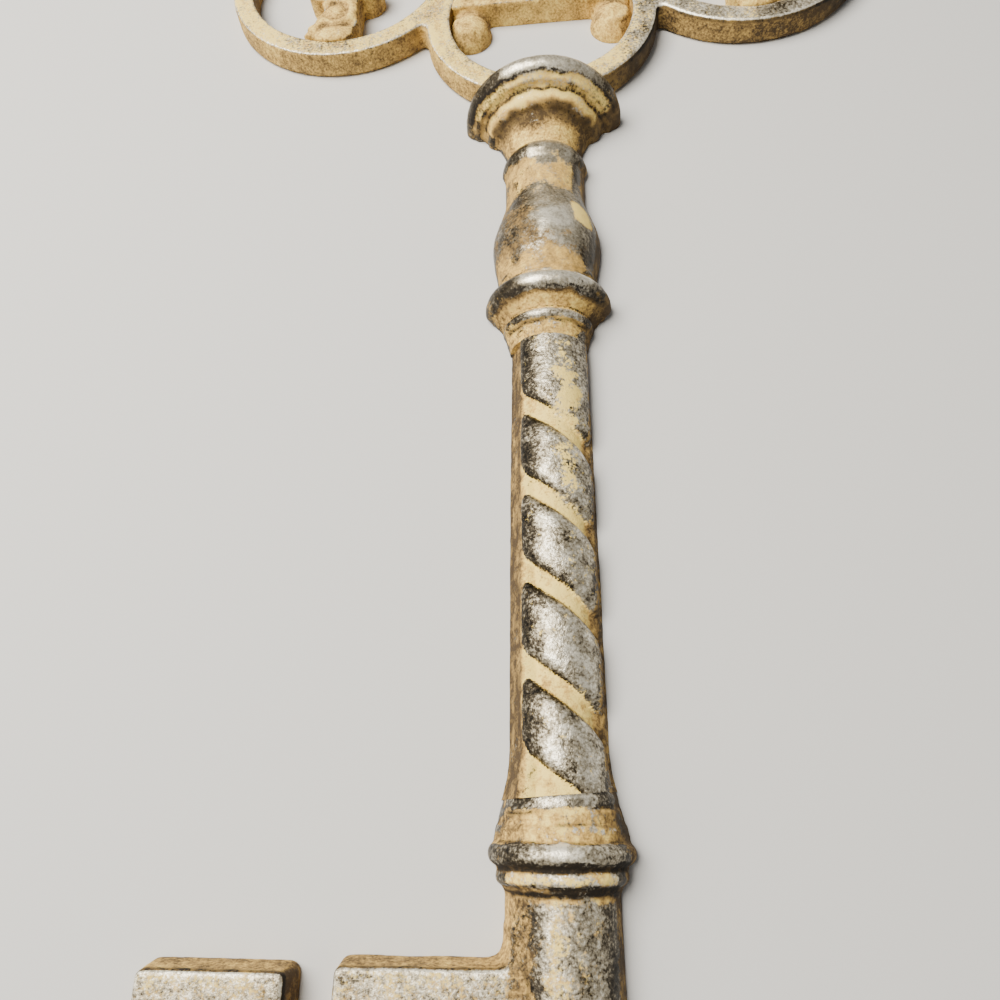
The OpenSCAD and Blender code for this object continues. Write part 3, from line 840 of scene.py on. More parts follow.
    def rings(self) -> list[Ring]:
        """Lists the rings, bands and beads, with their stations from the frame.

        Returns:
            The rings, from the collar up, with the neck ring and the tip ring last.
        """
        listed = []
        at = span("lower_collar")[0]
        for (height, radius), rounding, fade in (
            (self.end_bead, 0.4, 4.0), (self.under_band, 1.25, 4.0), (self.main_ring, 1.7, 1.2),
            (self.lower_band, 0.7, 4.5), (self.upper_band, 0.7, 4.5),
        ):
            listed.append(Ring(at, at + height, radius, rounding, fade))
            at += height
        bead = span("throat")[0] + self.throat_bead_y
        listed += [
            Ring(*span("thin_ring"), self.thin_ring_r, 0.9, 4.5, self.thin_ring_tilt_deg),
            Ring(bead - self.throat_bead_h / 2, bead + self.throat_bead_h / 2, self.throat_bead_r, 1.1, 5.0),
            Ring(*span("second_collar"), self.second_r, 2.1, 1.0),
        ]
        for rise, radius in self.vase_beads:
            low = span("vase")[0] + rise - self.vase_bead_h / 2
            listed.append(Ring(low, low + self.vase_bead_h, radius, 0.45, 5.0))
        return listed + [
            Ring(*span("neck_ring"), self.neck_r, 1.9, 1.0),
            Ring(*span("tip_ring"), self.tip_ring_r, 1.9, 1.0),
        ]

    def distance(self, block: Block) -> np.ndarray:
        """Gives the distance from the shank at a block's sample points.

        Args:
            block: Sample points.

        Returns:
            Distance at each point.
        """
        x, y, z = block.x, block.y, block.z
        across = np.hypot(x, z)
        radius = self.core_radius(y)
        slope = np.gradient(radius.ravel(), block.step).reshape(radius.shape)
        stretch = np.sqrt(1 + np.minimum(np.abs(slope), self.steepest) ** 2)
        cup = span("cup")
        tip = span("tip_button")[0]
        form = np.maximum((across - radius) / stretch, y - cup[0] - self.core_lap)
        width = self.skirt_half_width(y)
        lean = math.hypot(1, self.skirt_lean)
        skirt = np.maximum((np.abs(x) - width + self.skirt_lean * z) / lean, z - self.skirt_h)
        skirt_top = span("vase")[0] + self.skirt_above_foot
        skirt = np.maximum(skirt, np.maximum(span("tip_ring")[0] - y, y - skirt_top))
        form = joined(form, skirt, self.crease)
        for ring in self.rings():
            station = y - x * math.tan(math.radians(ring.tilt))
            fade = smooth_step(0, ring.fade_height, z)
            reach = np.minimum(width, ring.radius) + (ring.radius - np.minimum(width, ring.radius)) * fade
            along = np.abs(station - (ring.low + ring.high) / 2) - (ring.high - ring.low) / 2 + ring.rounding
            out = across - reach + ring.rounding
            bar = np.hypot(np.maximum(along, 0), np.maximum(out, 0)) + np.minimum(np.maximum(along, out), 0)
            form = joined(form, bar - ring.rounding, self.crease)
        form = joined(form, self.cup_distance(block, across), self.crease)
        return np.maximum(np.maximum(form, -z), np.maximum(tip - y, y - cup[1]))

    def cup_distance(self, block: Block, across: np.ndarray) -> np.ndarray:
        """Gives the distance from the cup: a flared body with a lip, an inner ring and a rim.

        Args:
            block: Sample points.
            across: Distance of each sample from the shank's middle line.

        Returns:
            Distance at each point.
        """
        low, high = span("cup")
        lip_y = low + self.lip_rise
        rim_y = high - self.rim_drop
        middle_y = (lip_y + rim_y) / 2
        stations = [low, middle_y, rim_y, high]
        radii = [self.lip_r - self.lip_round, self.mid_r - self.mid_round,
                 self.rim_r - self.rim_round, self.rim_r - self.rim_round]
        body = np.maximum((across - np.interp(block.y, stations, radii)) / self.cup_slope, low - block.y)
        for radius, station, rounding in (
            (self.lip_r, lip_y, self.lip_round),
            (self.mid_r, middle_y, self.mid_round),
            (self.rim_r, rim_y, self.rim_round),
        ):
            bead = np.hypot(across - (radius - rounding), block.y - station) - rounding
            body = joined(body, bead, self.cup_crease)
        return np.maximum(body, low - block.y)


@dataclass(frozen=True)
class Dab:
    """A patch on the turned shank that lays paint and wear, and in places a painted highlight and painted
    shade.

    Stations run along the shank from the node's lower end, in millimetres, and angles go round the shank from
    the right of the flat back over the front, in degrees.
    """

    node: str
    stations: tuple[float, float]
    angles: tuple[float, float]
    amounts: dict[Mask, float]
    soft: float = 2.2
    tilt_deg: float = 0.0
    usual_r: float = 9.0

    def share(self, points: np.ndarray, angle: np.ndarray, wobble: np.ndarray) -> np.ndarray:
        """Gives how far each point lies inside the patch.

        Args:
            points: Places in millimetres, one row each.
            angle: The points' angles round the shank in degrees.
            wobble: Random value at each point, from -1 to 1, that makes the patch's edge uneven.

        Returns:
            A value from 0 outside to 1 inside.
        """
        start = span(self.node)[0]
        along = points[:, 1] - start - points[:, 0] * math.tan(math.radians(self.tilt_deg))
        along = along + self.soft * wobble
        turn = math.degrees(self.soft / self.usual_r)
        angle = angle + turn * wobble
        inside = smooth_step(self.stations[0] - self.soft, self.stations[0] + self.soft, along)
        inside = inside * smooth_step(self.stations[1] + self.soft, self.stations[1] - self.soft, along)
        inside = inside * smooth_step(self.angles[0] - turn, self.angles[0] + turn, angle)
        return inside * smooth_step(self.angles[1] + turn, self.angles[1] - turn, angle)


def lay_on(surface: Surface, dabs: Iterable[Dab], angle: np.ndarray, patch_mm: float = 2.2) -> None:
    """Lays patches over the paint of a surface; each mask goes towards the patch's amount for it.

    Args:
        surface: Surface to paint.
        dabs: The patches.
        angle: The points' angles round the shank in degrees.
        patch_mm: Size of the unevenness of their edges.
    """
    wobble = 2 * SAND.at(surface.points + 90, patch_mm) - 1
    for dab in dabs:
        share = dab.share(surface.points, angle, wobble)
        for mask, amount in dab.amounts.items():
            surface.masks[mask] = surface.masks[mask] * (1 - share) + amount * share


def speckle(surface: Surface, strength: np.ndarray | float) -> None:
    """Breaks the paint up at the scale of the coarsest sand grains.

    Args:
        surface: Surface to paint.
        strength: How strong it is, the same everywhere or one for each point.
    """
    size = (0.9, 1.3, 0.9)
    for offset, (mask, amount) in enumerate((
        (Mask.WASH, 0.5), (Mask.WORN, 0.3), (Mask.CREAM, 0.6), (Mask.SOOT, 0.3),
    )):
        specks = SAND.at(surface.points + 130 + 17 * offset, size) - 0.5
        surface.masks[mask] = surface.masks[mask] + amount * strength * specks


def paint_turned(surface: Surface, dabs: Iterable[Dab], speckled: float) -> None:
    """Paints the turned forms: ochre in the hollows and on the flanks, bare iron on the crests, a painted
    highlight across the front, and painted shade in the creases and on the right flank.

    Args:
        surface: Surface of turned forms.
        dabs: Patches laid over the rest.
        speckled: Strength of the speckle.
    """
    points, normals, relief = surface.points, surface.normals, surface.relief
    angle = np.degrees(np.arctan2(points[:, 2], points[:, 0]))
    uneven = SAND.at(points + 50, (2.4, 5.0, 2.4)) - 0.5
    left_flank = smooth_step(128, 146, angle)
    right_flank = smooth_step(34, 20, angle)
    hollow = smooth_step(0.0, -0.14, relief)
    crest = smooth_step(0.0, 0.14, relief)
    facing_tip = smooth_step(-0.3, -0.6, normals[:, 1])
    # The band round the front that faces the light, where painted highlights and paler wash go.
    middle = smooth_step(30, 62, angle) * smooth_step(128, 98, angle)
    wash = np.maximum.reduce([0.9 * hollow, left_flank * (1 - 0.5 * crest), 0.9 * facing_tip])
    wash = np.maximum(0.12 + 0.85 * wash * (1 - 0.7 * crest), 0.9 * right_flank)
    surface.masks[Mask.WASH] = wash + 0.3 * uneven
    # Bare iron is brighter across the front and on lit crests: painted highlight over the wear.
    surface.masks[Mask.WORN] = 0.26 + 0.34 * middle + 0.16 * crest * middle + 0.2 * uneven
    # The wash is paler across the front and goes dark on the right flank: painted light and painted shade.
    surface.masks[Mask.CREAM] = 0.42 + 0.3 * middle - 0.3 * right_flank + 0.25 * uneven
    crease = smooth_step(-0.2, -0.4, relief)
    # Near-black in the creases is grime with painted shade; on the right flank it is painted shade.
    surface.masks[Mask.SOOT] = 0.85 * crease + 0.3 * right_flank * (1 - left_flank) + 0.1 * uneven
    lay_on(surface, dabs, angle)
    speckle(surface, speckled)


@dataclass(frozen=True)
class PlatePaint:
    """How flat-backed plates are painted: pale rubbed faces over ochre walls, a painted highlight along the
    rims, paler crests and dark hollows as painted light and shade, painted shade on walls that face right,
    and a dark line under the rims.
    """

    height: float
    face_wash: float = 0.55
    wall_wash: float = 0.95
    face_cream: float = 0.7
    face_worn: float = 0.64
    rim_highlight_and_wear: float = 0.92
    wall_cream: float = 0.5
    line: float = 0.12
    line_width: float = 0.9
    shade: float = 0.34
    mottle: float = 0.7
    speckled: float = 0.6
    mottle_mm: float = 3.0
    cloud_mm: float = 7.0
    rim_band: tuple[float, float] = (1.6, 0.9)

    def lay(self, surface: Surface, where: np.ndarray | float = 1.0) -> None:
        """Paints a surface.

        Args:
            surface: Surface to paint.
            where: Share of each point's paint that is this one.
        """
        points, normals = surface.points, surface.normals
        uneven = (SAND.at(points + 80, self.mottle_mm) - 0.5) * self.mottle
        broad = (SAND.at(points + 20, self.cloud_mm) - 0.5) * self.mottle
        face = smooth_step(0.45, 0.85, normals[:, 2])
        rim = smooth_step(0.3, 0.6, normals[:, 2]) * smooth_step(0.985, 0.85, normals[:, 2])
        rim = rim * smooth_step(self.height + 0.2, self.height, points[:, 2])
        band_foot, below_rim = (self.height - depth for depth in self.rim_band)
        rim = rim * smooth_step(band_foot, below_rim, points[:, 2])
        crest = smooth_step(0.03, 0.16, surface.relief) * face
        hollow = smooth_step(-0.03, -0.16, surface.relief) * face
        band = smooth_step(below_rim - self.line_width, below_rim, points[:, 2]) * (1 - face)
        to_right = smooth_step(0.2, 0.8, normals[:, 0])
        wanted = {
            Mask.WASH: (1 - face) * self.wall_wash + face * (self.face_wash + 0.7 * broad + 0.2 * hollow)
            - 0.4 * rim + 0.15 * uneven,
            # Rims are brighter: painted highlight over the wear.
            Mask.WORN: face * (self.face_worn + 0.5 * broad) + (self.rim_highlight_and_wear - self.face_worn) * rim
            + 0.3 * (1 - face) + 0.3 * uneven,
            # Crests are paler and hollows go dark as painted light and shade; walls that face right go dark
            # as painted shade.
            Mask.CREAM: face * (self.face_cream + 0.2 * crest - 0.4 * hollow * self.mottle + 0.4 * broad)
            + (1 - face) * (self.wall_cream - 0.25 * to_right + 0.5 * broad) + 0.3 * uneven,
            # A dark line under the rims, painted shade on walls that face right, and painted shade in the
            # hollows.
            Mask.SOOT: band * self.line + self.shade * (1 - face) * to_right + 0.15 * hollow * self.mottle,
        }
        for mask, values in wanted.items():
            surface.masks[mask] = surface.masks[mask] * (1 - where) + values * where
        speckle(surface, self.speckled * where)


@dataclass
class Bit:
    """The slotted bit: an inner block and two outer teeth, tied by a lower web."""

    height: float = 6.5
    lean: float = 0.123
    corner: float = 2.0
    inner_reach: float = 34.9
    web_sink: float = 1.6
    web_lap: float = 1.0
    root_fillet: float = 3.2
    block_fillet: float = 1.0
    tooth_fillet: float = 0.8
    web_fillet: float = 1.2
    edge_round: float = 0.9
    shank_r: float = TurnedShank.shank_r
    cut_x: float = 10.4
    seam_inset: float = -0.6
    block_len: float = 70.0
    paint_edge: tuple[float, float] = (-7.0, -9.0)

    def web_span(self) -> tuple[float, float]:
        """Gives the stations between which the web lies."""
        return span("bit_lower_tooth")[1], span("bit_upper_tooth")[0]

    def add_to(self, block: Block, form: np.ndarray) -> np.ndarray:
        """Adds the bit to the shank's distance field.

        Args:
            block: Sample points.
            form: The shank's distances.

        Returns:
            Distances from shank and bit.
        """
        x, y, z = block.x, block.y, block.z
        low, high = (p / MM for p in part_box("bit_inner_block"))
        bottom, top = low.y + self.root_fillet_back(), high.y - self.root_fillet_back()
        shrink = self.lean * z
        chord = np.sqrt(np.maximum(self.shank_r ** 2 - z ** 2, 0))
        walls = rectangle(x, y, (-self.inner_reach, bottom), (self.shank_r / 2, top), self.corner) + shrink
        walls = joined(walls, np.abs(x) - chord, self.root_fillet)
        walls = np.maximum(walls, np.maximum(low.y - y, y - high.y))
        inner = plate(z, np.maximum(walls, x), self.height, self.edge_round)
        form = joined(form, inner, self.block_fillet)
        for node in ("bit_upper_tooth", "bit_lower_tooth"):
            low, high = (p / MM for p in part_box(node))
            walls = rectangle(x, y, (low.x, low.y), (high.x, high.y), self.corner) + shrink
            form = joined(form, plate(z, walls, self.height, self.edge_round), self.tooth_fillet)
        low, high = (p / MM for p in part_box("bit_web"))
        walls = rectangle(x, y, (low.x, low.y), (high.x + self.web_lap, high.y))
        return joined(form, plate(z, walls, self.height - self.web_sink, self.edge_round), self.web_fillet)

    def root_fillet_back(self) -> float:
        """Gives how far the root fillets reach beyond the ends of the block along the shank."""
        block = span("bit_inner_block")
        return (block[1] - block[0] - self.block_len) / 2

    def paint(self, surface: Surface) -> None:
        """Paints the bit: pale rubbed faces, ochre walls and a dark line along the edges.

        Args:
            surface: Surface of the lower end, already painted as turned forms.
        """
        on_bit = smooth_step(*self.paint_edge, surface.points[:, 0])
        PlatePaint(self.height, line=0.66, face_wash=0.32, face_worn=0.58, wall_cream=0.42, mottle=0.3,
                   speckled=0.8).lay(surface, on_bit)


@dataclass
class ShankPieces:
    """Casts the shank's turned forms and the bit, and cuts them into their pieces."""

    foundry: Foundry
    shank: TurnedShank = field(default_factory=TurnedShank)
    bit: Bit = field(default_factory=Bit)
    lower_half: float = 12.5
    collar_half: float = 14.5
    upper_half: float = 20.0
    overrun: float = 3.0
    end_room: float = 1.5

    def build(self) -> None:
        """Builds the lower end with the bit, the lower collar, and the forms between rope and bow."""
        self.lower_end()
        self.collar()
        self.upper_forms()

    def cast(self, low: tuple[float, float], high: tuple[float, float],
             extra: Callable[[Block, np.ndarray], np.ndarray] | None = None,
             speckled: float = 1.0) -> Surface:
        """Casts the stretch of shank that lies in a box, which is as high as it reaches to the right.

        Args:
            low: Lowest place across and along.
            high: Highest place across and along.
            extra: Adds other forms to the distance field.
            speckled: Strength of the paint's speckle.

        Returns:
            The painted surface.
        """
        block = Block((*low, -1.0), (*high, high[0]), self.foundry.step)
        form = self.shank.distance(block)
        if extra:
            form = extra(block, form)
        surface = block.cast(form)
        paint_turned(surface, self.dabs(), speckled)
        return surface

    @staticmethod
    def dabs() -> list[Dab]:
        """Lists the patches of paint and wear, painted highlights and painted shade that stand out on the
        turned forms.

        Returns:
            The patches, node by node.
        """
        wash, worn, cream, soot = Mask
        front, wide, left, right = (40, 140), (20, 160), (114, 150), (12, 44)
        tilt = TurnedShank.thin_ring_tilt_deg
        patches = {
            # Cup: cream lip and cream inner ring, a broad bare rim, painted highlights across their fronts,
            # and dark lines of painted shade in the grooves between them and under the lip.
            "cup": (
                ((0.4, 2.5), (22, 164), {wash: 0.76, cream: 0.8}, 0.4),
                ((0.4, 2.5), (50, 128), {cream: 1.0}, 0.6),
                ((0.4, 2.5), front, {worn: 0.85}, 0.4),
                ((3.0, 4.0), (22, 160), {wash: 0.7, cream: 0.9}, 0.3),
                ((3.0, 4.0), (50, 120), {worn: 0.8}, 0.3),
                ((4.2, 10.0), (34, 165), {wash: 0.06}, 0.3),
                ((4.3, 9.0), (50, 120), {worn: 0.76}, 0.5),
                ((4.3, 10.0), (122, 165), {worn: 0.36, soot: 0.16}, 1.0),
                ((2.4, 3.05), (16, 168), {soot: 0.76}, 0.3),
                ((3.85, 4.5), (16, 168), {soot: 0.76}, 0.3),
                ((-0.6, 0.4), wide, {soot: 0.76}, 0.3),
            ),
            # Cone: light tan, paler across the front as painted light, turning dark brown under the cup as
            # painted shade.
            "hollow_cone": (
                ((0.0, 8.0), wide, {wash: 0.95}),
                ((0.0, 4.2), front, {cream: 0.72}, 1.0),
                ((4.8, 8.0), wide, {cream: 0.14}, 1.0),
                ((5.6, 8.0), wide, {soot: 0.44}, 0.9),
            ),
            # Neck ring: smooth bare grey with a painted highlight across the front and painted shade at its
            # ends.
            "neck_ring": (
                ((-0.8, 4.2), (34, 140), {wash: 0.1}, 0.5),
                ((-0.6, 4.0), (50, 112), {worn: 0.66}, 0.8),
                ((-0.6, 4.4), (114, 160), {worn: 0.34}, 1.0),
                ((-1.5, 4.2), (114, 165), {soot: 0.1}, 1.0),
                ((-3.0, 0.0), (104, 150), {wash: 0.85}, 0.8),
                ((0.0, 4.2), right, {soot: 0.3}, 1.0),
            ),
            # Vase: tan foot, paler in front; painted shade under the belly and a dark band above it; bare
            # belly with a painted highlight in front; a yellow patch of wash; tan neck; painted shade down
            # the right flank.
            "vase": (
                ((0.0, 7.0), front, {wash: 0.8}),
                ((0.0, 6.5), front, {cream: 0.55}),
                ((7.0, 10.0), front, {wash: 0.6, cream: 0.12, soot: 0.34}),
                ((10.0, 19.0), (56, 102), {wash: 0.04}),
                ((10.5, 17.5), (58, 102), {worn: 0.95}),
                ((10.0, 20.0), (102, 140), {wash: 0.6}),
                ((9.0, 22.0), (102, 180), {cream: 0.22, worn: 0.36, soot: 0.12}),
                ((13.6, 19.8), (36, 56), {wash: 0.95, cream: 1.1, soot: 0.0}, 1.0),
                ((19.5, 23.0), (40, 130), {soot: 0.46}, 1.6),
                ((24.0, 32.5), front, {wash: 0.78, cream: 0.62}),
                ((23.0, 28.0), (62, 78), {soot: 0.4}, 1.4),
                ((4.0, 26.0), (0, 28), {soot: 0.42}),
            ),
            # Second collar: bare crest with a painted highlight across the front, over painted shade on its
            # lower half, with dull dark ends.
            "second_collar": (
                ((0.2, 4.4), front, {wash: 0.12}, 0.5),
                ((1.6, 4.4), (46, 116), {worn: 0.84}, 0.6),
                ((0.0, 4.4), (116, 165), {worn: 0.36}, 1.0),
                ((-0.3, 0.9), wide, {soot: 0.68}, 0.4),
                ((0.8, 2.0), (24, 62), {soot: 0.56}, 0.5),
                ((1.2, 4.4), (116, 165), {soot: 0.16}, 1.0),
            ),
            # Throat: tan and paler in front, with a bare bead that has a painted highlight in front, between
            # dark lines of grime and painted shade.
            "throat": (
                ((5.6, 7.8), wide, {wash: 0.95}, 0.4),
                ((5.6, 7.2), front, {cream: 0.7}, 0.4),
                ((7.4, 8.2), wide, {cream: 0.15}, 0.3),
                ((3.4, 5.2), (50, 112), {worn: 0.75}, 0.5),
                ((2.4, 3.2), (25, 155), {soot: 0.68}, 0.35),
                ((5.0, 8.0), (118, 150), {soot: 0.34}),
                ((-2.0, 2.4), (50, 78), {soot: 0.4}),
                ((-3.0, 2.4), front, {wash: 0.75, cream: 0.65}, 0.8),
            ),
            # Thin ring: bare in the middle with a painted highlight, dark at its ends as painted shade, with
            # ragged dark lines of grime and painted shade above and below.
            "thin_ring": (
                ((0.1, 1.8), (20, 160), {wash: 0.05}, 0.3, tilt),
                ((0.1, 1.8), (50, 104), {worn: 0.66}, 0.5, tilt),
                ((0.0, 1.9), left, {worn: 0.38, soot: 0.14}, 0.8, tilt),
                ((1.8, 2.4), (30, 116), {soot: 0.62}, 0.3, tilt),
                ((-0.5, 0.2), (25, 62), {soot: 0.85}, 0.35, tilt),
                ((-0.5, 0.1), (108, 150), {soot: 0.7}, 0.35, tilt),
            ),
            # Lower collar: tan bands, paler in front, over a bare main ring with a painted highlight across
            # the front and dull dark ends, a cream band under it, and dark lines of grime and painted shade
            # between them; the right ends of the bands are in painted shade.
            "lower_collar": (
                ((7.3, 11.9), (24, 156), {wash: 0.85}, 0.4),
                ((7.3, 11.9), (45, 125), {cream: 0.7}, 0.8),
                ((7.3, 11.5), (8, 34), {soot: 0.5}, 1.0),
                ((9.2, 9.7), (22, 95), {soot: 0.6}, 0.3),
                ((8.0, 9.2), (34, 80), {worn: 0.8}, 0.5),
                ((8.2, 9.2), (34, 80), {wash: 0.45}, 0.5),
                ((3.9, 6.8), front, {wash: 0.06}, 0.4),
                ((3.9, 6.8), (40, 112), {worn: 0.56}, 0.8),
                ((4.4, 6.8), (72, 98), {worn: 0.92}, 0.8),
                ((3.9, 6.8), (112, 165), {worn: 0.34}, 1.0),
                ((3.9, 6.8), (106, 165), {soot: 0.2}, 1.0),
                ((6.9, 7.3), (25, 155), {soot: 0.7}, 0.25),
                ((2.9, 4.3), wide, {soot: 0.85}, 0.3),
                ((2.6, 4.3), wide, {cream: 0.1}, 0.3),
                ((-0.6, 1.2), wide, {cream: 0.15}, 0.3),
                ((1.2, 2.8), front, {wash: 0.65, cream: 0.95, worn: 0.8}, 0.4),
                ((-0.5, 0.3), wide, {soot: 0.85}, 0.3),
                ((-0.5, 1.2), (30, 100), {soot: 0.85}, 0.4),
            ),
            # Lower shank: long uneven streaks of cream, grey and dark brown; the dark streak down the right
            # flank is painted shade.
            "lower_shank": (
                ((0.0, 85.0), (80, 105), {wash: 0.55, cream: 0.85}, 1.2),
                ((0.0, 85.0), (56, 100), {worn: 0.6}, 1.2),
                ((0.0, 85.0), (56, 78), {wash: 0.2}, 1.2),
                ((0.0, 85.0), (117, 150), {wash: 0.72, cream: 0.3}, 1.2),
                ((0.0, 76.0), (122, 131), {soot: 0.46}, 0.9),
                ((0.0, 84.0), (105, 115), {soot: 0.5}, 1.0),
                ((0.0, 84.0), (28, 46), {soot: 0.42}, 1.4),
            ),
        }
        return [Dab(node, *row) for node, rows in patches.items() for row in rows]

    def lower_end(self) -> None:
        """Builds the tip, the plain lower shank and the bit."""
        tip = span("tip_button")[0]
        top = span("lower_collar")[0]
        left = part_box("bit_upper_tooth")[0].x / MM
        surface = self.cast((left - self.end_room, tip - self.end_room),
                            (self.lower_half, top + self.overrun), self.bit.add_to)
        self.bit.paint(surface)
        self.foundry.roughen(surface)
        side = (-self.bit.cut_x, 0, 0)
        inner = (-self.bit.inner_reach + self.bit.seam_inset, 0, 0)
        right_of_root, left_of_root = Plane(side, (-1, 0, 0)), Plane(side, (1, 0, 0))
        right_of_slots, left_of_slots = Plane(inner, (-1, 0, 0)), Plane(inner, (1, 0, 0))
        ring = span("tip_ring")
        web = self.bit.web_span()
        for node, cuts, slot in (
            ("tip_button", [right_of_root, above(span("tip_button")[1])], Slot.DARK),
            ("tip_ring", [right_of_root, above(ring[1]), below(ring[0])], Slot.DARK),
            ("lower_shank", [right_of_root, above(top), below(span("lower_shank")[0])], Slot.PALE),
            ("bit_inner_block", [left_of_root, right_of_slots], Slot.PALE),
            ("bit_upper_tooth", [left_of_slots, below(web[1])], Slot.PALE),
            ("bit_lower_tooth", [left_of_slots, above(web[0])], Slot.PALE),
            ("bit_web", [left_of_slots, below(web[0]), above(web[1])], Slot.OCHRE),
        ):
            self.foundry.finish_piece(surface, cuts, [node], slot)

    def collar(self) -> None:
        """Builds the lower collar and the thin ring over it."""
        half = self.collar_half
        surface = self.cast((-half, span("lower_collar")[0] - self.overrun),
                            (half, span("thin_ring")[1] + self.overrun))
        self.foundry.roughen(surface)
        tilt = self.shank.thin_ring_tilt_deg
        for node, slot, foot_tilt in (("lower_collar", Slot.OCHRE, 0.0), ("thin_ring", Slot.DARK, tilt)):
            start, end = span(node)
            self.foundry.finish_piece(surface, [below(start, foot_tilt), above(end, tilt)], [node], slot)

    def upper_forms(self) -> None:
        """Builds the throat, second collar, vase, neck ring, cone and cup."""
        half = self.upper_half
        surface = self.cast((-half, span("throat")[0] - self.overrun),
                            (half, span("cup")[1] + self.end_room), speckled=0.5)
        self.foundry.roughen(surface)
        for node, slot in (
            ("throat", Slot.OCHRE), ("second_collar", Slot.DARK), ("vase", Slot.DARK),
            ("neck_ring", Slot.DARK), ("hollow_cone", Slot.OCHRE), ("cup", Slot.DARK),
        ):
            start, end = span(node)
            cuts = [below(start)] if node == "cup" else [below(start), above(end)]
            self.foundry.finish_piece(surface, cuts, [node], slot, handled=slot is Slot.DARK)


@dataclass
class Bow:
    """The centre ring and the three lobe rings, cast together with filleted crotches."""

    foundry: Foundry
    hub_r: float = 29.2
    hub_bar: float = 6.6
    lobe_r: float = 31.3
    lobe_bar: float = 6.0
    lap: float = 5.2
    kiss: float = 1.0
    seat: float = 1.0
    height: float = 6.5
    lean: float = 0.077
    back_bevel: float = 0.8
    edge_round: float = 1.0
    crotch_fillet: float = 2.6
    bevel_slope: float = 0.71
    coarser: float = 1.15
    shaded_right: tuple[float, float] = (10.0, 36.0)

    def hub(self) -> tuple[float, float]:
        """Gives the centre of the centre ring."""
        return 0.0, span("centre_ring")[0] + self.hub_r - self.seat

    def lobes(self) -> dict[str, tuple[float, float]]:
        """Gives the centre of each lobe, from the box of the scroll that fills it.

        Returns:
            The centres by the lobes' names.
        """
        centres = {}
        for side in ("left", "right", "top"):
            low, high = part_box(side + "_scroll")
            along = (low.y + high.y) / 2 / MM
            across = {"left": -1, "right": 1, "top": 0}[side]
            distance = self.hub_r + self.lobe_r - self.lap
            rise = along - self.hub()[1]
            centres[side] = (across * math.sqrt(max(distance ** 2 - rise ** 2, 0)), along)
        return centres

    def rings(self) -> list[tuple[tuple[float, float], float, float]]:
        """Lists each ring's centre, outside radius and width of bar, the centre ring first."""
        lobes = [(centre, self.lobe_r, self.lobe_bar) for centre in self.lobes().values()]
        return [(self.hub(), self.hub_r, self.hub_bar), *lobes]

    def build(self) -> None:
        """Casts the four rings and cuts them apart where the nodes meet."""
        hub = self.hub()
        lobes = self.lobes()
        half = lobes["right"][0] + self.lobe_r + 1
        top = lobes["top"][1] + self.lobe_r + 1
        block = Block((-half, hub[1] - self.hub_r - 1, -1.0), (half, top, self.height + 1),
                      self.foundry.step * self.coarser)
        walls = None
        for centre, radius, bar in self.rings():
            out = disc(block.x, block.y, centre, 0)
            outer = np.maximum(out - radius + self.lean * block.z,
                               (out - radius + self.back_bevel - block.z) * self.bevel_slope)
            ring = np.maximum(outer, radius - bar - out)
            if walls is None:
                walls = np.maximum(ring, hub[1] - self.hub_r + self.seat - block.y)
            else:
                walls = joined(walls, ring, self.crotch_fillet)
        for centre, radius, bar in self.rings():
            walls = np.maximum(walls, -disc(block.x, block.y, centre, radius - bar))
        surface = block.cast(plate(block.z, walls, self.height, self.edge_round))
        PlatePaint(self.height, face_wash=0.66, face_cream=0.78, rim_highlight_and_wear=0.84, mottle=0.5).lay(surface)
        # On the right the rings take painted shade: walls that face right go dark, the dark line under the
        # rims is stronger and the faces carry less wash, while the rims get a brighter painted highlight.
        on_right = smooth_step(*self.shaded_right, surface.points[:, 0])
        right_shade = PlatePaint(self.height, line=0.5, face_wash=0.25, wall_cream=0.26, rim_highlight_and_wear=1.1, shade=0.6)
        right_shade.lay(surface, on_right)
        self.foundry.roughen(surface)
        self.cut_rings(surface)

    def cut_rings(self, surface: Surface) -> None:
        """Cuts the cast rings into their four pieces.

        Args:
            surface: Surface of all four rings.
        """
        hub, lobes = self.hub(), self.lobes()
        distance = self.hub_r + self.lobe_r - self.lap
        join = (distance ** 2 + self.hub_r ** 2 - self.lobe_r ** 2) / (2 * distance)
        outward = {}
        for side, centre in lobes.items():
            way = ((centre[0] - hub[0]) / distance, (centre[1] - hub[1]) / distance)
            outward[side] = Plane((hub[0] + way[0] * join, hub[1] + way[1] * join, 0), (way[0], way[1], 0))
        self.foundry.finish_piece(surface, outward.values(), ["centre_ring"], Slot.PALE)
        for side, others in (("left", ["top"]), ("right", ["top"]), ("top", ["left", "right"])):
            inward = outward[side]
            cuts = [Plane(inward.point, tuple(-n for n in inward.normal))]
            for other in others:
                a, b = np.array(lobes[side]), np.array(lobes[other])
                way = (b - a) / np.linalg.norm(b - a)
                middle = a + way * (self.lobe_r - self.kiss / 2)
                cuts.append(Plane((middle[0], middle[1], 0), (way[0], way[1], 0)))
            self.foundry.finish_piece(surface, cuts, [side + "_lobe_ring"], Slot.PALE)


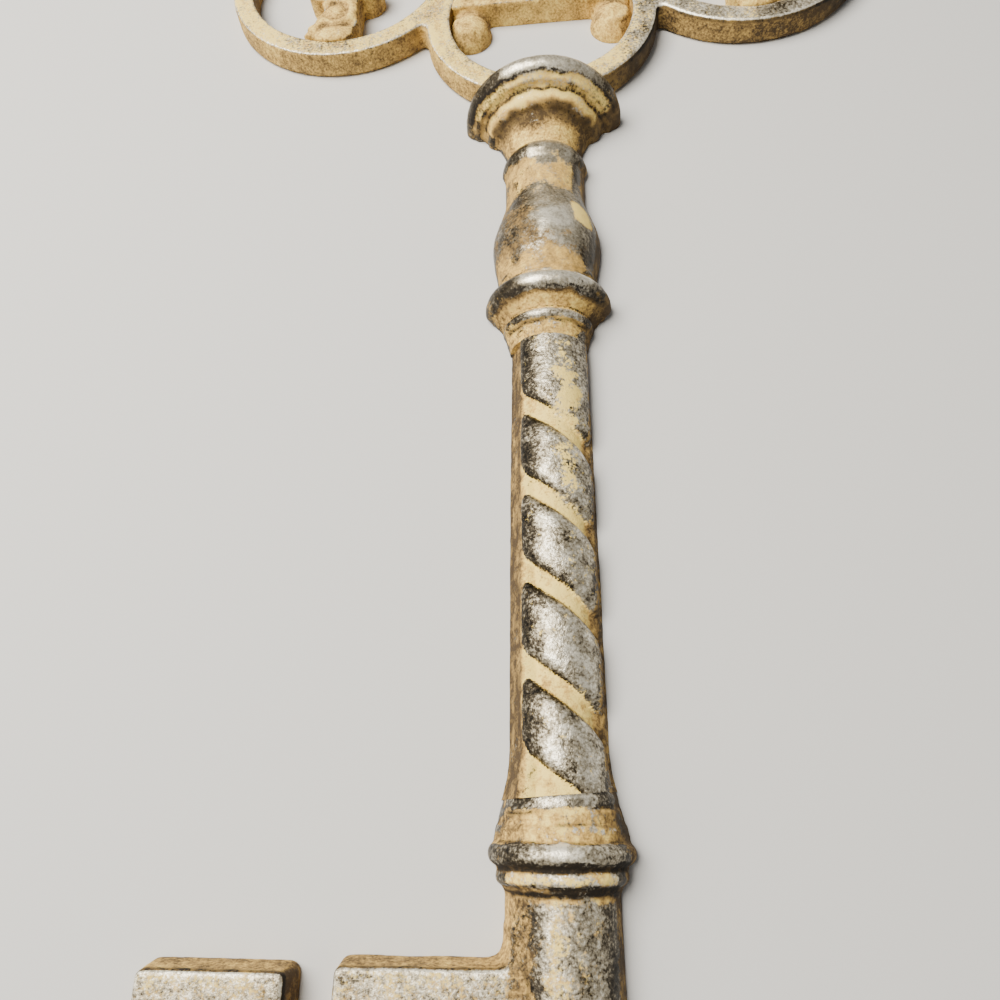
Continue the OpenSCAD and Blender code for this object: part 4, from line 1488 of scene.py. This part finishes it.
@dataclass
class Rope:
    """The two-strand rope of the shank, which a node tree shapes from an angle and a station."""

    foundry: Foundry
    crown_r: float = TurnedShank.rope_r
    depth: float = 1.7
    lead: float = 32.0
    pitch: float = 16.7
    first_groove: float = 16.6
    grooves: int = 4
    floor_half: float = 1.8
    foot_edge: float = 2.6
    bulge_along: float = 5.5
    bulge_round: float = 2.4
    squareness: float = 3.4
    left_end_deg: float = 43.0
    right_end_deg: float = 12.0
    strip_blend: float = 2.2
    skirt_r: float = 8.2
    skirt_lean: float = TurnedShank.skirt_lean
    foot_flare: float = TurnedShank.foot_flare
    foot_flare_h: float = TurnedShank.foot_flare_h
    skirt_flare: float = 0.5
    skirt_taper: float = 0.6
    overhang: float = 1.3
    foot_tilt_deg: float = TurnedShank.thin_ring_tilt_deg
    finer: float = 0.85

    def tree(self) -> bpy.types.NodeTree:
        """Builds the node tree: a tube of rows whose points are set by the rope's rule.

        Returns:
            The tree, with a named input for each size.
        """
        kinds = dict.fromkeys(self.sizes(), "Float")
        tree, given = open_tree("two_strand_rope", kinds | {
            "Rows": "Int", "Columns": "Int", "Material": "Material"})
        tube = add_node(tree, "GeometryNodeMeshCylinder", {
            "Vertices": given["Columns"], "Side Segments": given["Rows"], "Radius": 1.0, "Depth": 1.0},
            fill_type="TRIANGLE_FAN")["Mesh"]
        place = add_node(tree, "GeometryNodeInputPosition")[0]
        split = add_node(tree, "ShaderNodeSeparateXYZ", {0: place})
        known = {"tube x": split[0], "tube y": split[1], "tube z": split[2]}
        known |= {socket.name: socket for socket in given if socket.name}
        for name, operation, *operands in self.rule():
            fed = {i: known[v] if isinstance(v, str) else v for i, v in enumerate(operands)}
            known[name] = add_node(tree, "ShaderNodeMath", fed, operation=operation,
                                   use_clamp=name.endswith("held"))[0]
        axes = {i: known[axis] for i, axis in enumerate("xyz")}
        spot = add_node(tree, "ShaderNodeCombineXYZ", axes)[0]
        spot = add_node(tree, "ShaderNodeVectorMath", {0: spot, "Scale": MM}, operation="SCALE")[0]
        shape = tube
        for name, value in (("strand", "bulge"), ("above_groove", "from groove")):
            shape = add_node(tree, "GeometryNodeStoreNamedAttribute", {
                "Geometry": shape, "Name": name, "Value": known[value]})[0]
        shape = add_node(tree, "GeometryNodeSetPosition", {"Geometry": shape, "Position": spot})[0]
        close_tree(tree, shape, given["Material"])
        return tree

    def sizes(self) -> dict[str, float]:
        """Lists the tree's sizes, in millimetres and radians.

        Returns:
            The sizes by the names of the tree's inputs.
        """
        start, end = span("rope_shank")
        return {
            "Start": start - self.overhang,
            "Length": end - start + 2 * self.overhang,
            "Overhang": self.overhang,
            "Crown Radius": self.crown_r,
            "Depth": self.depth,
            "Advance": self.lead / math.tau,
            "Pitch": self.pitch,
            "First Groove": self.first_groove,
            "Last Index": self.grooves - 1.0,
            "Floor Half": self.floor_half,
            "Foot Edge": self.foot_edge,
            "Bulge Along": self.bulge_along,
            "Bulge Round": self.bulge_round,
            "Squareness": self.squareness,
            "Left End": math.radians(self.left_end_deg),
            "Right End": math.radians(self.right_end_deg),
            "Strip Blend": self.strip_blend,
            "Skirt Radius": self.skirt_r,
            "Skirt Lean": self.skirt_lean,
            "Foot Flare": self.foot_flare,
            "Foot Flare Height": self.foot_flare_h,
            "Skirt Flare": self.skirt_flare,
            "Skirt Taper": self.skirt_taper,
            "Rope Length": end - start,
        }

    @staticmethod
    def rule() -> list[tuple]:
        """Lists the steps of the rope's rule: a name, an operation and what it works on.

        The tube's points give an angle and a station. The front half of the tube is laid over the half round
        and the other half on the flat back. A strand swells from its edges and its ends, above a floor that
        blends into the leaning strips of the flanks.

        Returns:
            The steps in order. One whose name ends in held is kept from 0 to 1.
        """
        return [
            ("turn", "ARCTAN2", "tube y", "tube x"),
            ("front", "MAXIMUM", "turn", 0.0),
            ("far side", "LESS_THAN", "turn", -math.pi / 2),
            ("angle", "MULTIPLY_ADD", "far side", math.pi, "front"),
            ("share of length", "ADD", "tube z", 0.5),
            ("from start", "MULTIPLY", "share of length", "Length"),
            ("station", "SUBTRACT", "from start", "Overhang"),
            ("twist", "SUBTRACT", "angle", math.pi / 2),
            ("advance", "MULTIPLY", "twist", "Advance"),
            ("along", "SUBTRACT", "station", "advance"),
            ("past first", "SUBTRACT", "along", "First Groove"),
            ("pitches", "DIVIDE", "past first", "Pitch"),
            ("nearest", "ROUND", "pitches"),
            ("not below", "MAXIMUM", "nearest", 0.0),
            ("index", "MINIMUM", "not below", "Last Index"),
            ("groove", "MULTIPLY", "index", "Pitch"),
            ("from groove", "SUBTRACT", "past first", "groove"),
            ("off groove", "ABSOLUTE", "from groove"),
            ("off floor", "SUBTRACT", "off groove", "Floor Half"),
            ("off foot", "SUBTRACT", "along", "Foot Edge"),
            ("off edge", "MINIMUM", "off floor", "off foot"),
            ("edge held", "DIVIDE", "off edge", "Bulge Along"),
            ("left angle", "SUBTRACT", math.pi, "angle"),
            ("off left", "SUBTRACT", "left angle", "Left End"),
            ("off right", "SUBTRACT", "angle", "Right End"),
            ("off end angle", "MINIMUM", "off left", "off right"),
            ("off end", "MULTIPLY", "off end angle", "Crown Radius"),
            ("end held", "DIVIDE", "off end", "Bulge Round"),
            ("edge rest", "SUBTRACT", 1.0, "edge held"),
            ("end rest", "SUBTRACT", 1.0, "end held"),
            ("edge power", "POWER", "edge rest", "Squareness"),
            ("end power", "POWER", "end rest", "Squareness"),
            ("rest held", "ADD", "edge power", "end power"),
            ("bulge square", "SUBTRACT", 1.0, "rest held"),
            ("bulge", "SQRT", "bulge square"),
            ("strip held", "DIVIDE", "off end", "Strip Blend"),
            ("cosine", "COSINE", "angle"),
            ("sine", "SINE", "angle"),
            ("reach across", "ABSOLUTE", "cosine"),
            ("lean reach", "MULTIPLY_ADD", "sine", "Skirt Lean", "reach across"),
            ("station share", "DIVIDE", "station", "Foot Flare Height"),
            ("foot share", "SUBTRACT", 1.0, "station share"),
            ("foot low", "MAXIMUM", "foot share", 0.0),
            ("foot square", "MULTIPLY", "foot low", "foot low"),
            ("height share", "DIVIDE", "station", "Rope Length"),
            ("height square", "MULTIPLY", "height share", "height share"),
            ("taper", "MULTIPLY", "height square", "Skirt Taper"),
            ("skirt below", "MULTIPLY_ADD", "foot square", "Skirt Flare", "Skirt Radius"),
            ("skirt width", "SUBTRACT", "skirt below", "taper"),
            ("skirt", "DIVIDE", "skirt width", "lean reach"),
            ("floor", "SUBTRACT", "Crown Radius", "Depth"),
            ("floor drop", "SUBTRACT", "floor", "skirt"),
            ("base", "MULTIPLY_ADD", "floor drop", "strip held", "skirt"),
            ("swell", "SUBTRACT", "Crown Radius", "base"),
            ("swollen", "MULTIPLY_ADD", "swell", "bulge", "base"),
            ("radius", "MULTIPLY_ADD", "foot square", "Foot Flare", "swollen"),
            ("turn cosine", "COSINE", "turn"),
            ("turn sine", "SINE", "turn"),
            ("lift", "MAXIMUM", "turn sine", 0.0),
            ("x", "MULTIPLY", "radius", "turn cosine"),
            ("y", "ADD", "from start", "Start"),
            ("z", "MULTIPLY", "radius", "lift"),
        ]

    def build(self) -> None:
        """Runs the tree, paints the result and cuts it to length."""
        step = self.foundry.step * self.finer
        mesh = run_tree(self.tree(), self.sizes() | {
            "Rows": round(self.sizes()["Length"] / step),
            "Columns": 2 * round(math.pi * self.crown_r / step),
            "Material": self.foundry.finishes[Slot.DARK],
        })
        surface = Surface.of_mesh(mesh)
        stored = {}
        for name in ("strand", "above_groove"):
            stored[name] = np.empty(len(mesh.vertices), np.float32)
            mesh.attributes[name].data.foreach_get("value", stored[name])
        bpy.data.meshes.remove(mesh)
        self.paint(surface, stored["strand"], stored["above_groove"])
        self.foundry.roughen(surface)
        start, end = span("rope_shank")
        cuts = [below(start, self.foot_tilt_deg), above(end)]
        self.foundry.finish_piece(surface, cuts, ["rope_shank"], Slot.DARK)

    def paint(self, surface: Surface, strand: np.ndarray, above_groove: np.ndarray) -> None:
        """Paints the rope: ochre on the groove floors and strips, bare crowns with a painted highlight across
        the front, painted shadow along the strands' edges and painted shade on the right flank.

        Args:
            surface: Surface to paint.
            strand: How far each point has swollen from the floor to the crown.
            above_groove: Distance along the shank above the nearest groove.
        """
        points = surface.points
        uneven = SAND.at(points + 50, (2.0, 3.0, 2.0)) - 0.5
        angle = np.degrees(np.arctan2(points[:, 2], points[:, 0]))
        crown_share = smooth_step(0.3, 1.0, strand)
        middle = smooth_step(18, 56, angle) * smooth_step(122, 92, angle)
        floor = smooth_step(0.5, 0.16, strand + 0.2 * uneven)
        strip = smooth_step(128, 142, angle)
        right = smooth_step(34, 22, angle)
        surface.masks[Mask.WASH] = 0.04 + 0.95 * np.maximum(floor, 0.6 * right)
        # Crowns are brighter across the front: painted highlight over the rubbed iron.
        surface.masks[Mask.WORN] = 0.28 + 0.44 * crown_share * middle + 0.16 * uneven
        surface.masks[Mask.WORN] += 0.26 * smooth_step(75, 45, angle) * (1 - crown_share)
        # The wash goes dark on the left strip and, as painted shade, on the right flank.
        surface.masks[Mask.CREAM] = 1.0 - 0.86 * strip - 0.8 * right + 0.3 * uneven
        # Painted shadow along each strand's edge above a groove, stronger to the left, painted shade on the
        # right flank, and dark on the left strip.
        line = smooth_step(0.1, 0.4, strand) * smooth_step(1.0, 0.7, strand)
        over_groove = smooth_step(-0.5, 1.5, above_groove) * smooth_step(40, 80, angle)
        left_end = smooth_step(118, 132, angle)
        shade = np.maximum(0.26 * over_groove, 0.1 * left_end)
        surface.masks[Mask.SOOT] = line * (0.04 + shade + 0.1 * uneven) + 0.3 * strip + 0.2 * right
        lay_on(surface, self.rubs(), angle)
        speckle(surface, 1.0)

    @staticmethod
    def rubs() -> list[Dab]:
        """Lists the stripes of yellow wash rubbed along the crowns, and a dark spot on the foot.

        Returns:
            The patches.
        """
        stripes = (
            ((65.0, 78.0), (48, 82), 0.78),
            ((66.0, 74.0), (47, 60), 0.95),
            ((78.0, 84.0), (60, 84), 0.5),
            ((49.0, 62.0), (46, 84), 0.58),
            ((33.0, 45.0), (46, 66), 0.46),
        )
        rubs = [
            Dab("rope_shank", stations, angles, {Mask.WASH: amount, Mask.CREAM: 1.15, Mask.WORN: 0.7})
            for stations, angles, amount in stripes
        ]
        return [*rubs, Dab("rope_shank", (1.5, 4.0), (118, 128), {Mask.SOOT: 0.5}, 1.0)]


@dataclass
class Rosette:
    """Four petals round a boss, on the middle of an upright scroll."""

    foundry: Foundry
    petals: int = 4
    petal_reach: float = 7.5
    petal_long: float = 4.1
    petal_half: float = 3.2
    petal_h: float = 1.75
    vein_depth: float = 0.35
    vein_half: float = 0.6
    boss_r: float = 4.6
    boss_h: float = 2.4
    face: float = 6.4
    segments: int = 40
    rows: int = 24

    def tree(self) -> bpy.types.NodeTree:
        """Builds the node tree: petals set round a circle, and the boss between them.

        Returns:
            The tree, with a named input for each size.
        """
        tree, given = open_tree("rosette", {
            "Petals": "Int", "Reach": "Float", "Petal Size": "Vector", "Boss Size": "Vector",
            "Vein Depth": "Float", "Vein Half Width": "Float", "Place": "Vector", "Material": "Material"})
        ball = add_node(tree, "GeometryNodeMeshUVSphere", {
            "Segments": self.segments, "Rings": self.rows})["Mesh"]
        place = add_node(tree, "GeometryNodeInputPosition")[0]
        split = add_node(tree, "ShaderNodeSeparateXYZ", {0: place})
        flat = add_node(tree, "ShaderNodeMath", {0: split[2], 1: 0.0}, operation="MAXIMUM")[0]
        off_vein = add_node(tree, "ShaderNodeMath", {0: split[1]}, operation="ABSOLUTE")[0]
        vein = add_node(tree, "ShaderNodeMapRange", {
            "Value": off_vein, 1: 0.0, 2: given["Vein Half Width"], 3: given["Vein Depth"], 4: 0.0},
            interpolation_type="SMOOTHSTEP")[0]
        sunk = add_node(tree, "ShaderNodeMath", {0: flat, 1: vein}, operation="SUBTRACT")[0]
        held = add_node(tree, "ShaderNodeMath", {0: sunk, 1: 0.0}, operation="MAXIMUM")[0]
        shapes = []
        for height in (held, flat):
            spot = add_node(tree, "ShaderNodeCombineXYZ", {0: split[0], 1: split[1], 2: height})[0]
            shapes.append(add_node(tree, "GeometryNodeSetPosition", {
                "Geometry": ball, "Position": spot})[0])
        circle = add_node(tree, "GeometryNodeMeshCircle", {
            "Vertices": given["Petals"], "Radius": given["Reach"]})["Mesh"]
        half_step = add_node(tree, "ShaderNodeMath", {0: math.pi, 1: given["Petals"]},
                             operation="DIVIDE")[0]
        turn = add_node(tree, "ShaderNodeCombineXYZ", {2: half_step})[0]
        circle = add_node(tree, "GeometryNodeTransform", {"Geometry": circle, "Rotation": turn})[0]
        facing = add_node(tree, "FunctionNodeAlignRotationToVector", {
            "Vector": place}, axis="X", pivot_axis="Z")[0]
        petals = add_node(tree, "GeometryNodeInstanceOnPoints", {
            "Points": circle, "Instance": shapes[0], "Rotation": facing,
            "Scale": given["Petal Size"]})[0]
        boss = add_node(tree, "GeometryNodeTransform", {
            "Geometry": shapes[1], "Scale": given["Boss Size"]})[0]
        both = add_node(tree, "GeometryNodeJoinGeometry", {0: [petals, boss]})[0]
        moved = add_node(tree, "GeometryNodeTransform", {
            "Geometry": both, "Translation": given["Place"], "Scale": (MM, MM, MM)})[0]
        close_tree(tree, moved, given["Material"])
        return tree

    def build(self, node: str, centre: tuple[float, float]) -> None:
        """Runs the tree for one lobe and paints the result.

        Args:
            node: CAD node that the rosette stands for.
            centre: The lobe's centre.
        """
        mesh = run_tree(self.tree(), {
            "Petals": self.petals,
            "Reach": self.petal_reach,
            "Petal Size": (self.petal_long, self.petal_half, self.petal_h),
            "Boss Size": (self.boss_r, self.boss_r, self.boss_h),
            "Vein Depth": self.vein_depth / self.petal_h,
            "Vein Half Width": self.vein_half / self.petal_half,
            "Place": (centre[0] * MM, centre[1] * MM, self.face * MM),
            "Material": self.foundry.finishes[Slot.PALE],
        })
        surface = Surface.of_mesh(mesh)
        bpy.data.meshes.remove(mesh)
        rise = (surface.points[:, 2] - self.face) / self.boss_h
        rubbed = smooth_step(0.45, 0.8, rise)
        surface.masks[Mask.WASH] = 0.9 - 0.4 * rubbed
        surface.masks[Mask.WORN] = 0.35 + 0.4 * rubbed
        surface.masks[Mask.CREAM] = 0.35 + 0.35 * smooth_step(0.1, 0.5, rise)
        # Painted shade round the foot of the petals and the boss, where they meet the face.
        surface.masks[Mask.SOOT] = 0.55 * smooth_step(0.2, 0.05, rise)
        speckle(surface, 0.4)
        self.foundry.finish_piece(surface, [], [node], Slot.PALE)


@dataclass
class Scroll:
    """Upright scroll inside a lobe, with a strap and an eye on each volute."""

    foundry: Foundry
    volute_r: float = 5.7
    volute_reach: float = 19.0
    outward: float = 1.2
    tip_r: float = 2.0
    tip_reach: float = 5.6
    tip_deg: float = 197.0
    tip_fillet: float = 0.6
    foot_w: float = 7.5
    petal_r: float = 4.4
    petal_reach: float = 7.8
    petal_degs: tuple[float, ...] = (45, 135, 225, 315)
    strap_half: float = 1.35
    strap_h: float = 1.1
    strap_start_deg: float = 205.0
    coil_rise: float = 3.4
    coil_r: float = 4.3
    coil_start_deg: float = 228.0
    coil_turn_deg: float = 262.0
    tail_end: tuple[float, float] = (-6.4, -5.4)
    leaf_drop: float = 4.7
    leaf_half: float = 2.7
    leaf_stretch: float = 1.9
    leaf_h: float = 1.5
    leaf_lap: float = 1.6
    relief_fillet: float = 0.9
    sunk: float = 0.1
    eye_r: float = 2.6
    eye_h: float = 1.2
    lobe_in_r: float = Bow.lobe_r - Bow.lobe_bar
    seat: float = 0.35
    height: float = Bow.height
    edge_round: float = 0.9
    soft: float = 1.3
    block_h: float = 9.5

    def end(self, u: np.ndarray, v: np.ndarray, tips: Sequence[int]) -> np.ndarray:
        """Gives the distance from the outline of one end: foot, volute and curled tips.

        Args:
            u: Places across, from the lobe's centre.
            v: Places along, with the end at the negative side.
            tips: Sides of the curled tips, -1 for left and 1 for right.

        Returns:
            Distance at each place.
        """
        bottom = -self.lobe_in_r - 1
        walls = disc(u, v, (0, -self.volute_reach), self.volute_r)
        foot = rectangle(u, v, (-self.foot_w / 2, bottom), (self.foot_w / 2, -self.volute_reach))
        walls = joined(walls, foot, self.soft)
        tip_x = self.tip_reach * math.cos(math.radians(self.tip_deg))
        tip_y = -self.volute_reach + self.tip_reach * math.sin(math.radians(self.tip_deg))
        for side in tips:
            mirrored = -side * u
            walls = joined(walls, disc(mirrored, v, (tip_x, tip_y), self.tip_r), self.tip_fillet)
        return walls

    def relief(self, u: np.ndarray, v: np.ndarray, z: np.ndarray, tips: Sequence[int]) -> np.ndarray:
        """Gives the distance from the strap and the eye of one volute.

        Args:
            u: Places across, from the lobe's centre.
            v: Places along, with the end at the negative side.
            z: Heights.
            tips: Sides of the curled tips.

        Returns:
            Distance at each place.
        """
        face = self.height - self.sunk
        if len(tips) > 1:
            middle = (0.0, -self.volute_reach)
            line = arc(u, v, middle, self.volute_r - self.strap_half, self.strap_start_deg,
                       2 * (270 - self.strap_start_deg))
        else:
            u = -u if tips[0] > 0 else u
            middle = (0.0, self.coil_rise - self.volute_reach)
            begin = math.radians(self.coil_start_deg)
            bend = (middle[0] + self.coil_r * math.cos(begin), middle[1] + self.coil_r * math.sin(begin))
            tail = (self.tail_end[0], self.tail_end[1] - self.volute_reach)
            line = np.minimum(arc(u, v, middle, self.coil_r, self.coil_start_deg, self.coil_turn_deg),
                              segment(u, v, bend, tail))
        eye = crown(disc(u, v, middle, 0), z, face, self.eye_r, self.eye_h)
        return np.minimum(crown(line, z, face, self.strap_half, self.strap_h), eye)

    def leaf(self, u: np.ndarray, v: np.ndarray, z: np.ndarray) -> np.ndarray:
        """Gives the distance from the leaf at the foot of a one-sided end.

        Args:
            u: Places across, from the lobe's centre.
            v: Places along, with the end at the negative side.
            z: Heights.

        Returns:
            Distance at each place.
        """
        away = np.hypot(u / self.leaf_stretch, v + self.volute_reach + self.leaf_drop)
        form = crown(away, z, self.height - self.sunk, self.leaf_half, self.leaf_h)
        return np.maximum(form, np.hypot(u, v) - self.lobe_in_r - self.leaf_lap)

    def build(self, side: str, centre: tuple[float, float], lower: Sequence[int],
              upper: Sequence[int]) -> None:
        """Casts the scroll of one lobe.

        Args:
            side: Name of the lobe.
            centre: The lobe's centre.
            lower: Sides of the curled tips at the lower end.
            upper: Sides of the curled tips at the upper end.
        """
        reach = self.lobe_in_r + self.seat
        half = self.petal_reach + self.petal_r
        top = reach + self.leaf_lap + 1
        block = Block((centre[0] - half, centre[1] - top, -1),
                      (centre[0] + half, centre[1] + top, self.block_h), self.foundry.step)
        u, v, z = block.x - centre[0], block.y - centre[1], block.z
        shift = self.outward * (lower[0] if len(lower) == 1 else 0)
        walls = joined(self.end(u - shift, v, lower), self.end(u + shift, -v, upper), self.soft)
        middle = rectangle(u, v, (-self.petal_r, -self.volute_reach), (self.petal_r, self.volute_reach))
        walls = joined(walls, middle, self.soft)
        for angle in map(math.radians, self.petal_degs):
            spot = (self.petal_reach * math.cos(angle), self.petal_reach * math.sin(angle))
            walls = joined(walls, disc(u, v, spot, self.petal_r), self.soft)
        form = plate(z, walls, self.height, self.edge_round)
        ends = ((lower, u - shift, v), (upper, u + shift, -v))
        for tips, across, along in ends:
            form = joined(form, self.relief(across, along, z, tips), self.relief_fillet)
        form = np.maximum(form, np.hypot(u, v) - reach)
        for tips, across, along in ends:
            if len(tips) == 1:
                form = joined(form, self.leaf(across, along, z), self.relief_fillet)
        nodes = [side + "_scroll", side + "_scroll_relief"]
        self.foundry.cast_plate(block, form, nodes, Slot.OCHRE, self.height)


@dataclass
class CentreScrollwork:
    """The crossbar with its buds, and the palmette over it, inside the centre ring."""

    foundry: Foundry
    hub_in_r: float = Bow.hub_r - Bow.hub_bar
    rise: float = 3.8
    width: float = 6.2
    bud_x: float = 18.2
    bud_r: float = 5.8
    bud_h: float = 5.6
    strap_r: float = 3.4
    strap_half: float = 0.8
    strap_h: float = 0.5
    strap_start_deg: float = 255.0
    strap_turn_deg: float = 120.0
    strap_fillet: float = 0.4
    roll_r: float = 1.3
    roll_fillet: float = 0.5
    sunk: float = 0.1
    leaf_r: float = 5.0
    leaf_seat: float = 0.5
    side_leaf_r: float = 3.6
    leaf_fillet: float = 0.8
    dish_depth: float = 0.9
    dish_edge: tuple[float, float] = (0.7, 2.2)
    vein_edge: tuple[float, float] = (0.3, 1.1)
    vein_way: tuple[float, float] = (0.6, 0.8)
    seat: float = 0.35
    height: float = Bow.height
    edge_round: float = 0.9
    soft: float = 1.5

    def build(self, hub: tuple[float, float]) -> None:
        """Casts the crossbar and the palmette.

        Args:
            hub: Centre of the centre ring.
        """
        reach = self.hub_in_r + self.seat
        block = Block((-reach - 1, hub[1] - 8, -1), (reach + 1, hub[1] + self.rise + self.width + 2, 9),
                      self.foundry.step)
        u, v, z = block.x, block.y - hub[1], block.z
        bar = rectangle(u, v, (-reach - 2, self.rise), (reach + 2, self.rise + self.width))
        form = plate(z, bar, self.height, self.edge_round)
        away = np.abs(u)
        off_bud = np.hypot(away - self.bud_x, v)
        dome = self.bud_h * np.sqrt(np.clip(1 - (off_bud / self.bud_r) ** 2, 0, 1))
        form = joined(form, np.maximum(crown(off_bud, z, 0.0, self.bud_r, self.bud_h), -z), self.soft)
        line = arc(away, v, (self.bud_x, 0), self.strap_r, self.strap_start_deg, self.strap_turn_deg)
        form = joined(form, crown(line, z, dome, self.strap_half, self.strap_h), self.strap_fillet)
        roll_end = self.bud_x - self.bud_r
        off_roll = np.hypot(np.maximum(away - roll_end, 0), v - self.rise - self.width / 2)
        roll = crown(off_roll, z, self.height - self.sunk, self.roll_r, self.roll_r)
        form = joined(form, roll, self.roll_fillet)
        form = np.maximum(form, np.hypot(u, v) - reach)
        nodes = ["crossbar_plate", "crossbar_scrolls"]
        self.foundry.cast_plate(block, form, nodes, Slot.OCHRE, self.height, "crossbar")
        self.palmette(hub, reach)

    def palmette(self, hub: tuple[float, float], reach: float) -> None:
        """Casts the three-leaved palmette, each leaf dished on both sides of a vein.

        Args:
            hub: Centre of the centre ring.
            reach: Radius at which it ends inside the ring.
        """
        foot = self.rise + self.width
        leaf = self.hub_in_r - self.leaf_r + self.leaf_seat
        block = Block((-10, hub[1] + foot - 1, -1), (10, hub[1] + reach + 1, self.height + 1),
                      self.foundry.step)
        u, v, z = block.x, block.y - hub[1], block.z
        away = np.abs(u)
        middle_leaf = disc(u, v, (0, leaf), self.leaf_r)
        side_leaf = disc(away, v, (self.leaf_r, foot + self.side_leaf_r), self.side_leaf_r)
        stem = rectangle(u, v, (-self.leaf_r / 2, foot - self.seat), (self.leaf_r / 2, leaf))
        walls = joined(joined(middle_leaf, side_leaf, self.leaf_fillet), stem, self.leaf_fillet)
        inside = np.maximum(-middle_leaf, -side_leaf)
        across, along = self.vein_way
        side_vein = (away - self.leaf_r) * across + (v - foot - self.side_leaf_r) * along
        vein = np.minimum(away, np.abs(side_vein))
        dish = smooth_step(*self.dish_edge, inside) * smooth_step(*self.vein_edge, vein)
        form = plate(z, walls, self.height - self.dish_depth * dish, self.edge_round)
        form = np.maximum(form, np.hypot(u, v) - reach)
        self.foundry.cast_plate(block, form, ["palmette"], Slot.PALE, self.height)


@dataclass(frozen=True)
class Studio:
    """Camera at the photo's angle, pale floor and plain soft light."""

    camera_place: tuple[float, float, float] = (0.0021, -0.08085, 0.1325)
    roll_deg: float = -1.93
    pitch_deg: float = 22.4
    yaw_deg: float = 5.6
    lens_mm: float = 27.0
    sensor_mm: float = 36.0
    nearest: float = 0.005
    floor_half: float = 3.0
    floor_colour: str = "#d3d4d6"
    floor_roughness: float = 0.85
    lamp_colour: tuple[float, float, float] = (1.0, 0.94, 0.82)
    surround_colour: str = "#eceae6"
    surround_strength: float = 0.2

    def build(self) -> None:
        """Sets up camera, floor, lights and world."""
        self.camera()
        self.floor()
        self.lights()

    def camera(self) -> None:
        """Makes the camera."""
        data = bpy.data.cameras.new("camera")
        data.lens = self.lens_mm
        data.sensor_width = self.sensor_mm
        data.clip_start = self.nearest
        turn = (Matrix.Rotation(math.radians(self.roll_deg), 4, "Z")
                @ Matrix.Rotation(math.radians(self.pitch_deg), 4, "X")
                @ Matrix.Rotation(math.radians(self.yaw_deg), 4, "Y"))
        camera = bpy.data.objects.new("camera", data)
        camera.matrix_world = Matrix.Translation(self.camera_place) @ turn
        bpy.context.scene.collection.objects.link(camera)
        bpy.context.scene.camera = camera

    def floor(self) -> None:
        """Makes the pale floor that the key lies on."""
        half = self.floor_half
        points = [(-half, -half, 0), (half, -half, 0), (half, half, 0), (-half, half, 0)]
        mesh = new_mesh("floor", points, [(0, 1, 2, 3)])
        # Matt painted board: it takes soft shadows and shows no reflection.
        material = bpy.data.materials.new("pale_matt_floor")
        material.use_nodes = True
        shader = material.node_tree.nodes["Principled BSDF"]
        shader.inputs["Base Color"].default_value = linear_colour(self.floor_colour)
        shader.inputs["Roughness"].default_value = self.floor_roughness
        mesh.materials.append(material)
        floor = bpy.data.objects.new("floor", mesh)
        bpy.context.scene.collection.objects.link(floor)

    def lights(self) -> None:
        """Makes a wide soft light overhead, a weak one at the side and a dim pale surround."""
        for name, place, size, power in (
            ("overhead", (-0.30, 0.10, 0.60), 0.45, 11.5),
            ("side", (-0.7, -0.3, 0.45), 0.4, 2.0),
        ):
            data = bpy.data.lights.new(name, "AREA")
            data.energy = power
            data.color = self.lamp_colour
            data.size = size
            lamp = bpy.data.objects.new(name, data)
            lamp.location = place
            lamp.rotation_euler = (-Vector(place)).to_track_quat("-Z", "Y").to_euler()
            bpy.context.scene.collection.objects.link(lamp)
        world = bpy.data.worlds.new("surround")
        world.use_nodes = True
        background = world.node_tree.nodes["Background"]
        background.inputs["Color"].default_value = linear_colour(self.surround_colour)
        background.inputs["Strength"].default_value = self.surround_strength
        bpy.context.scene.world = world


def main() -> None:
    """Builds the key and its studio."""
    logging.basicConfig(level=logging.INFO, format="%(name)s: %(message)s")
    Studio().build()
    foundry = Foundry(step=0.4)
    ShankPieces(foundry).build()
    Rope(foundry).build()
    bow = Bow(foundry)
    bow.build()
    CentreScrollwork(foundry).build(bow.hub())
    lobes = bow.lobes()
    for side, lower, upper in (("left", [-1], [1]), ("right", [1], [-1]), ("top", [-1, 1], [-1, 1])):
        Scroll(foundry).build(side, lobes[side], lower, upper)
        Rosette(foundry).build(side + "_rosette", lobes[side])


if __name__ == "__main__":
    main()
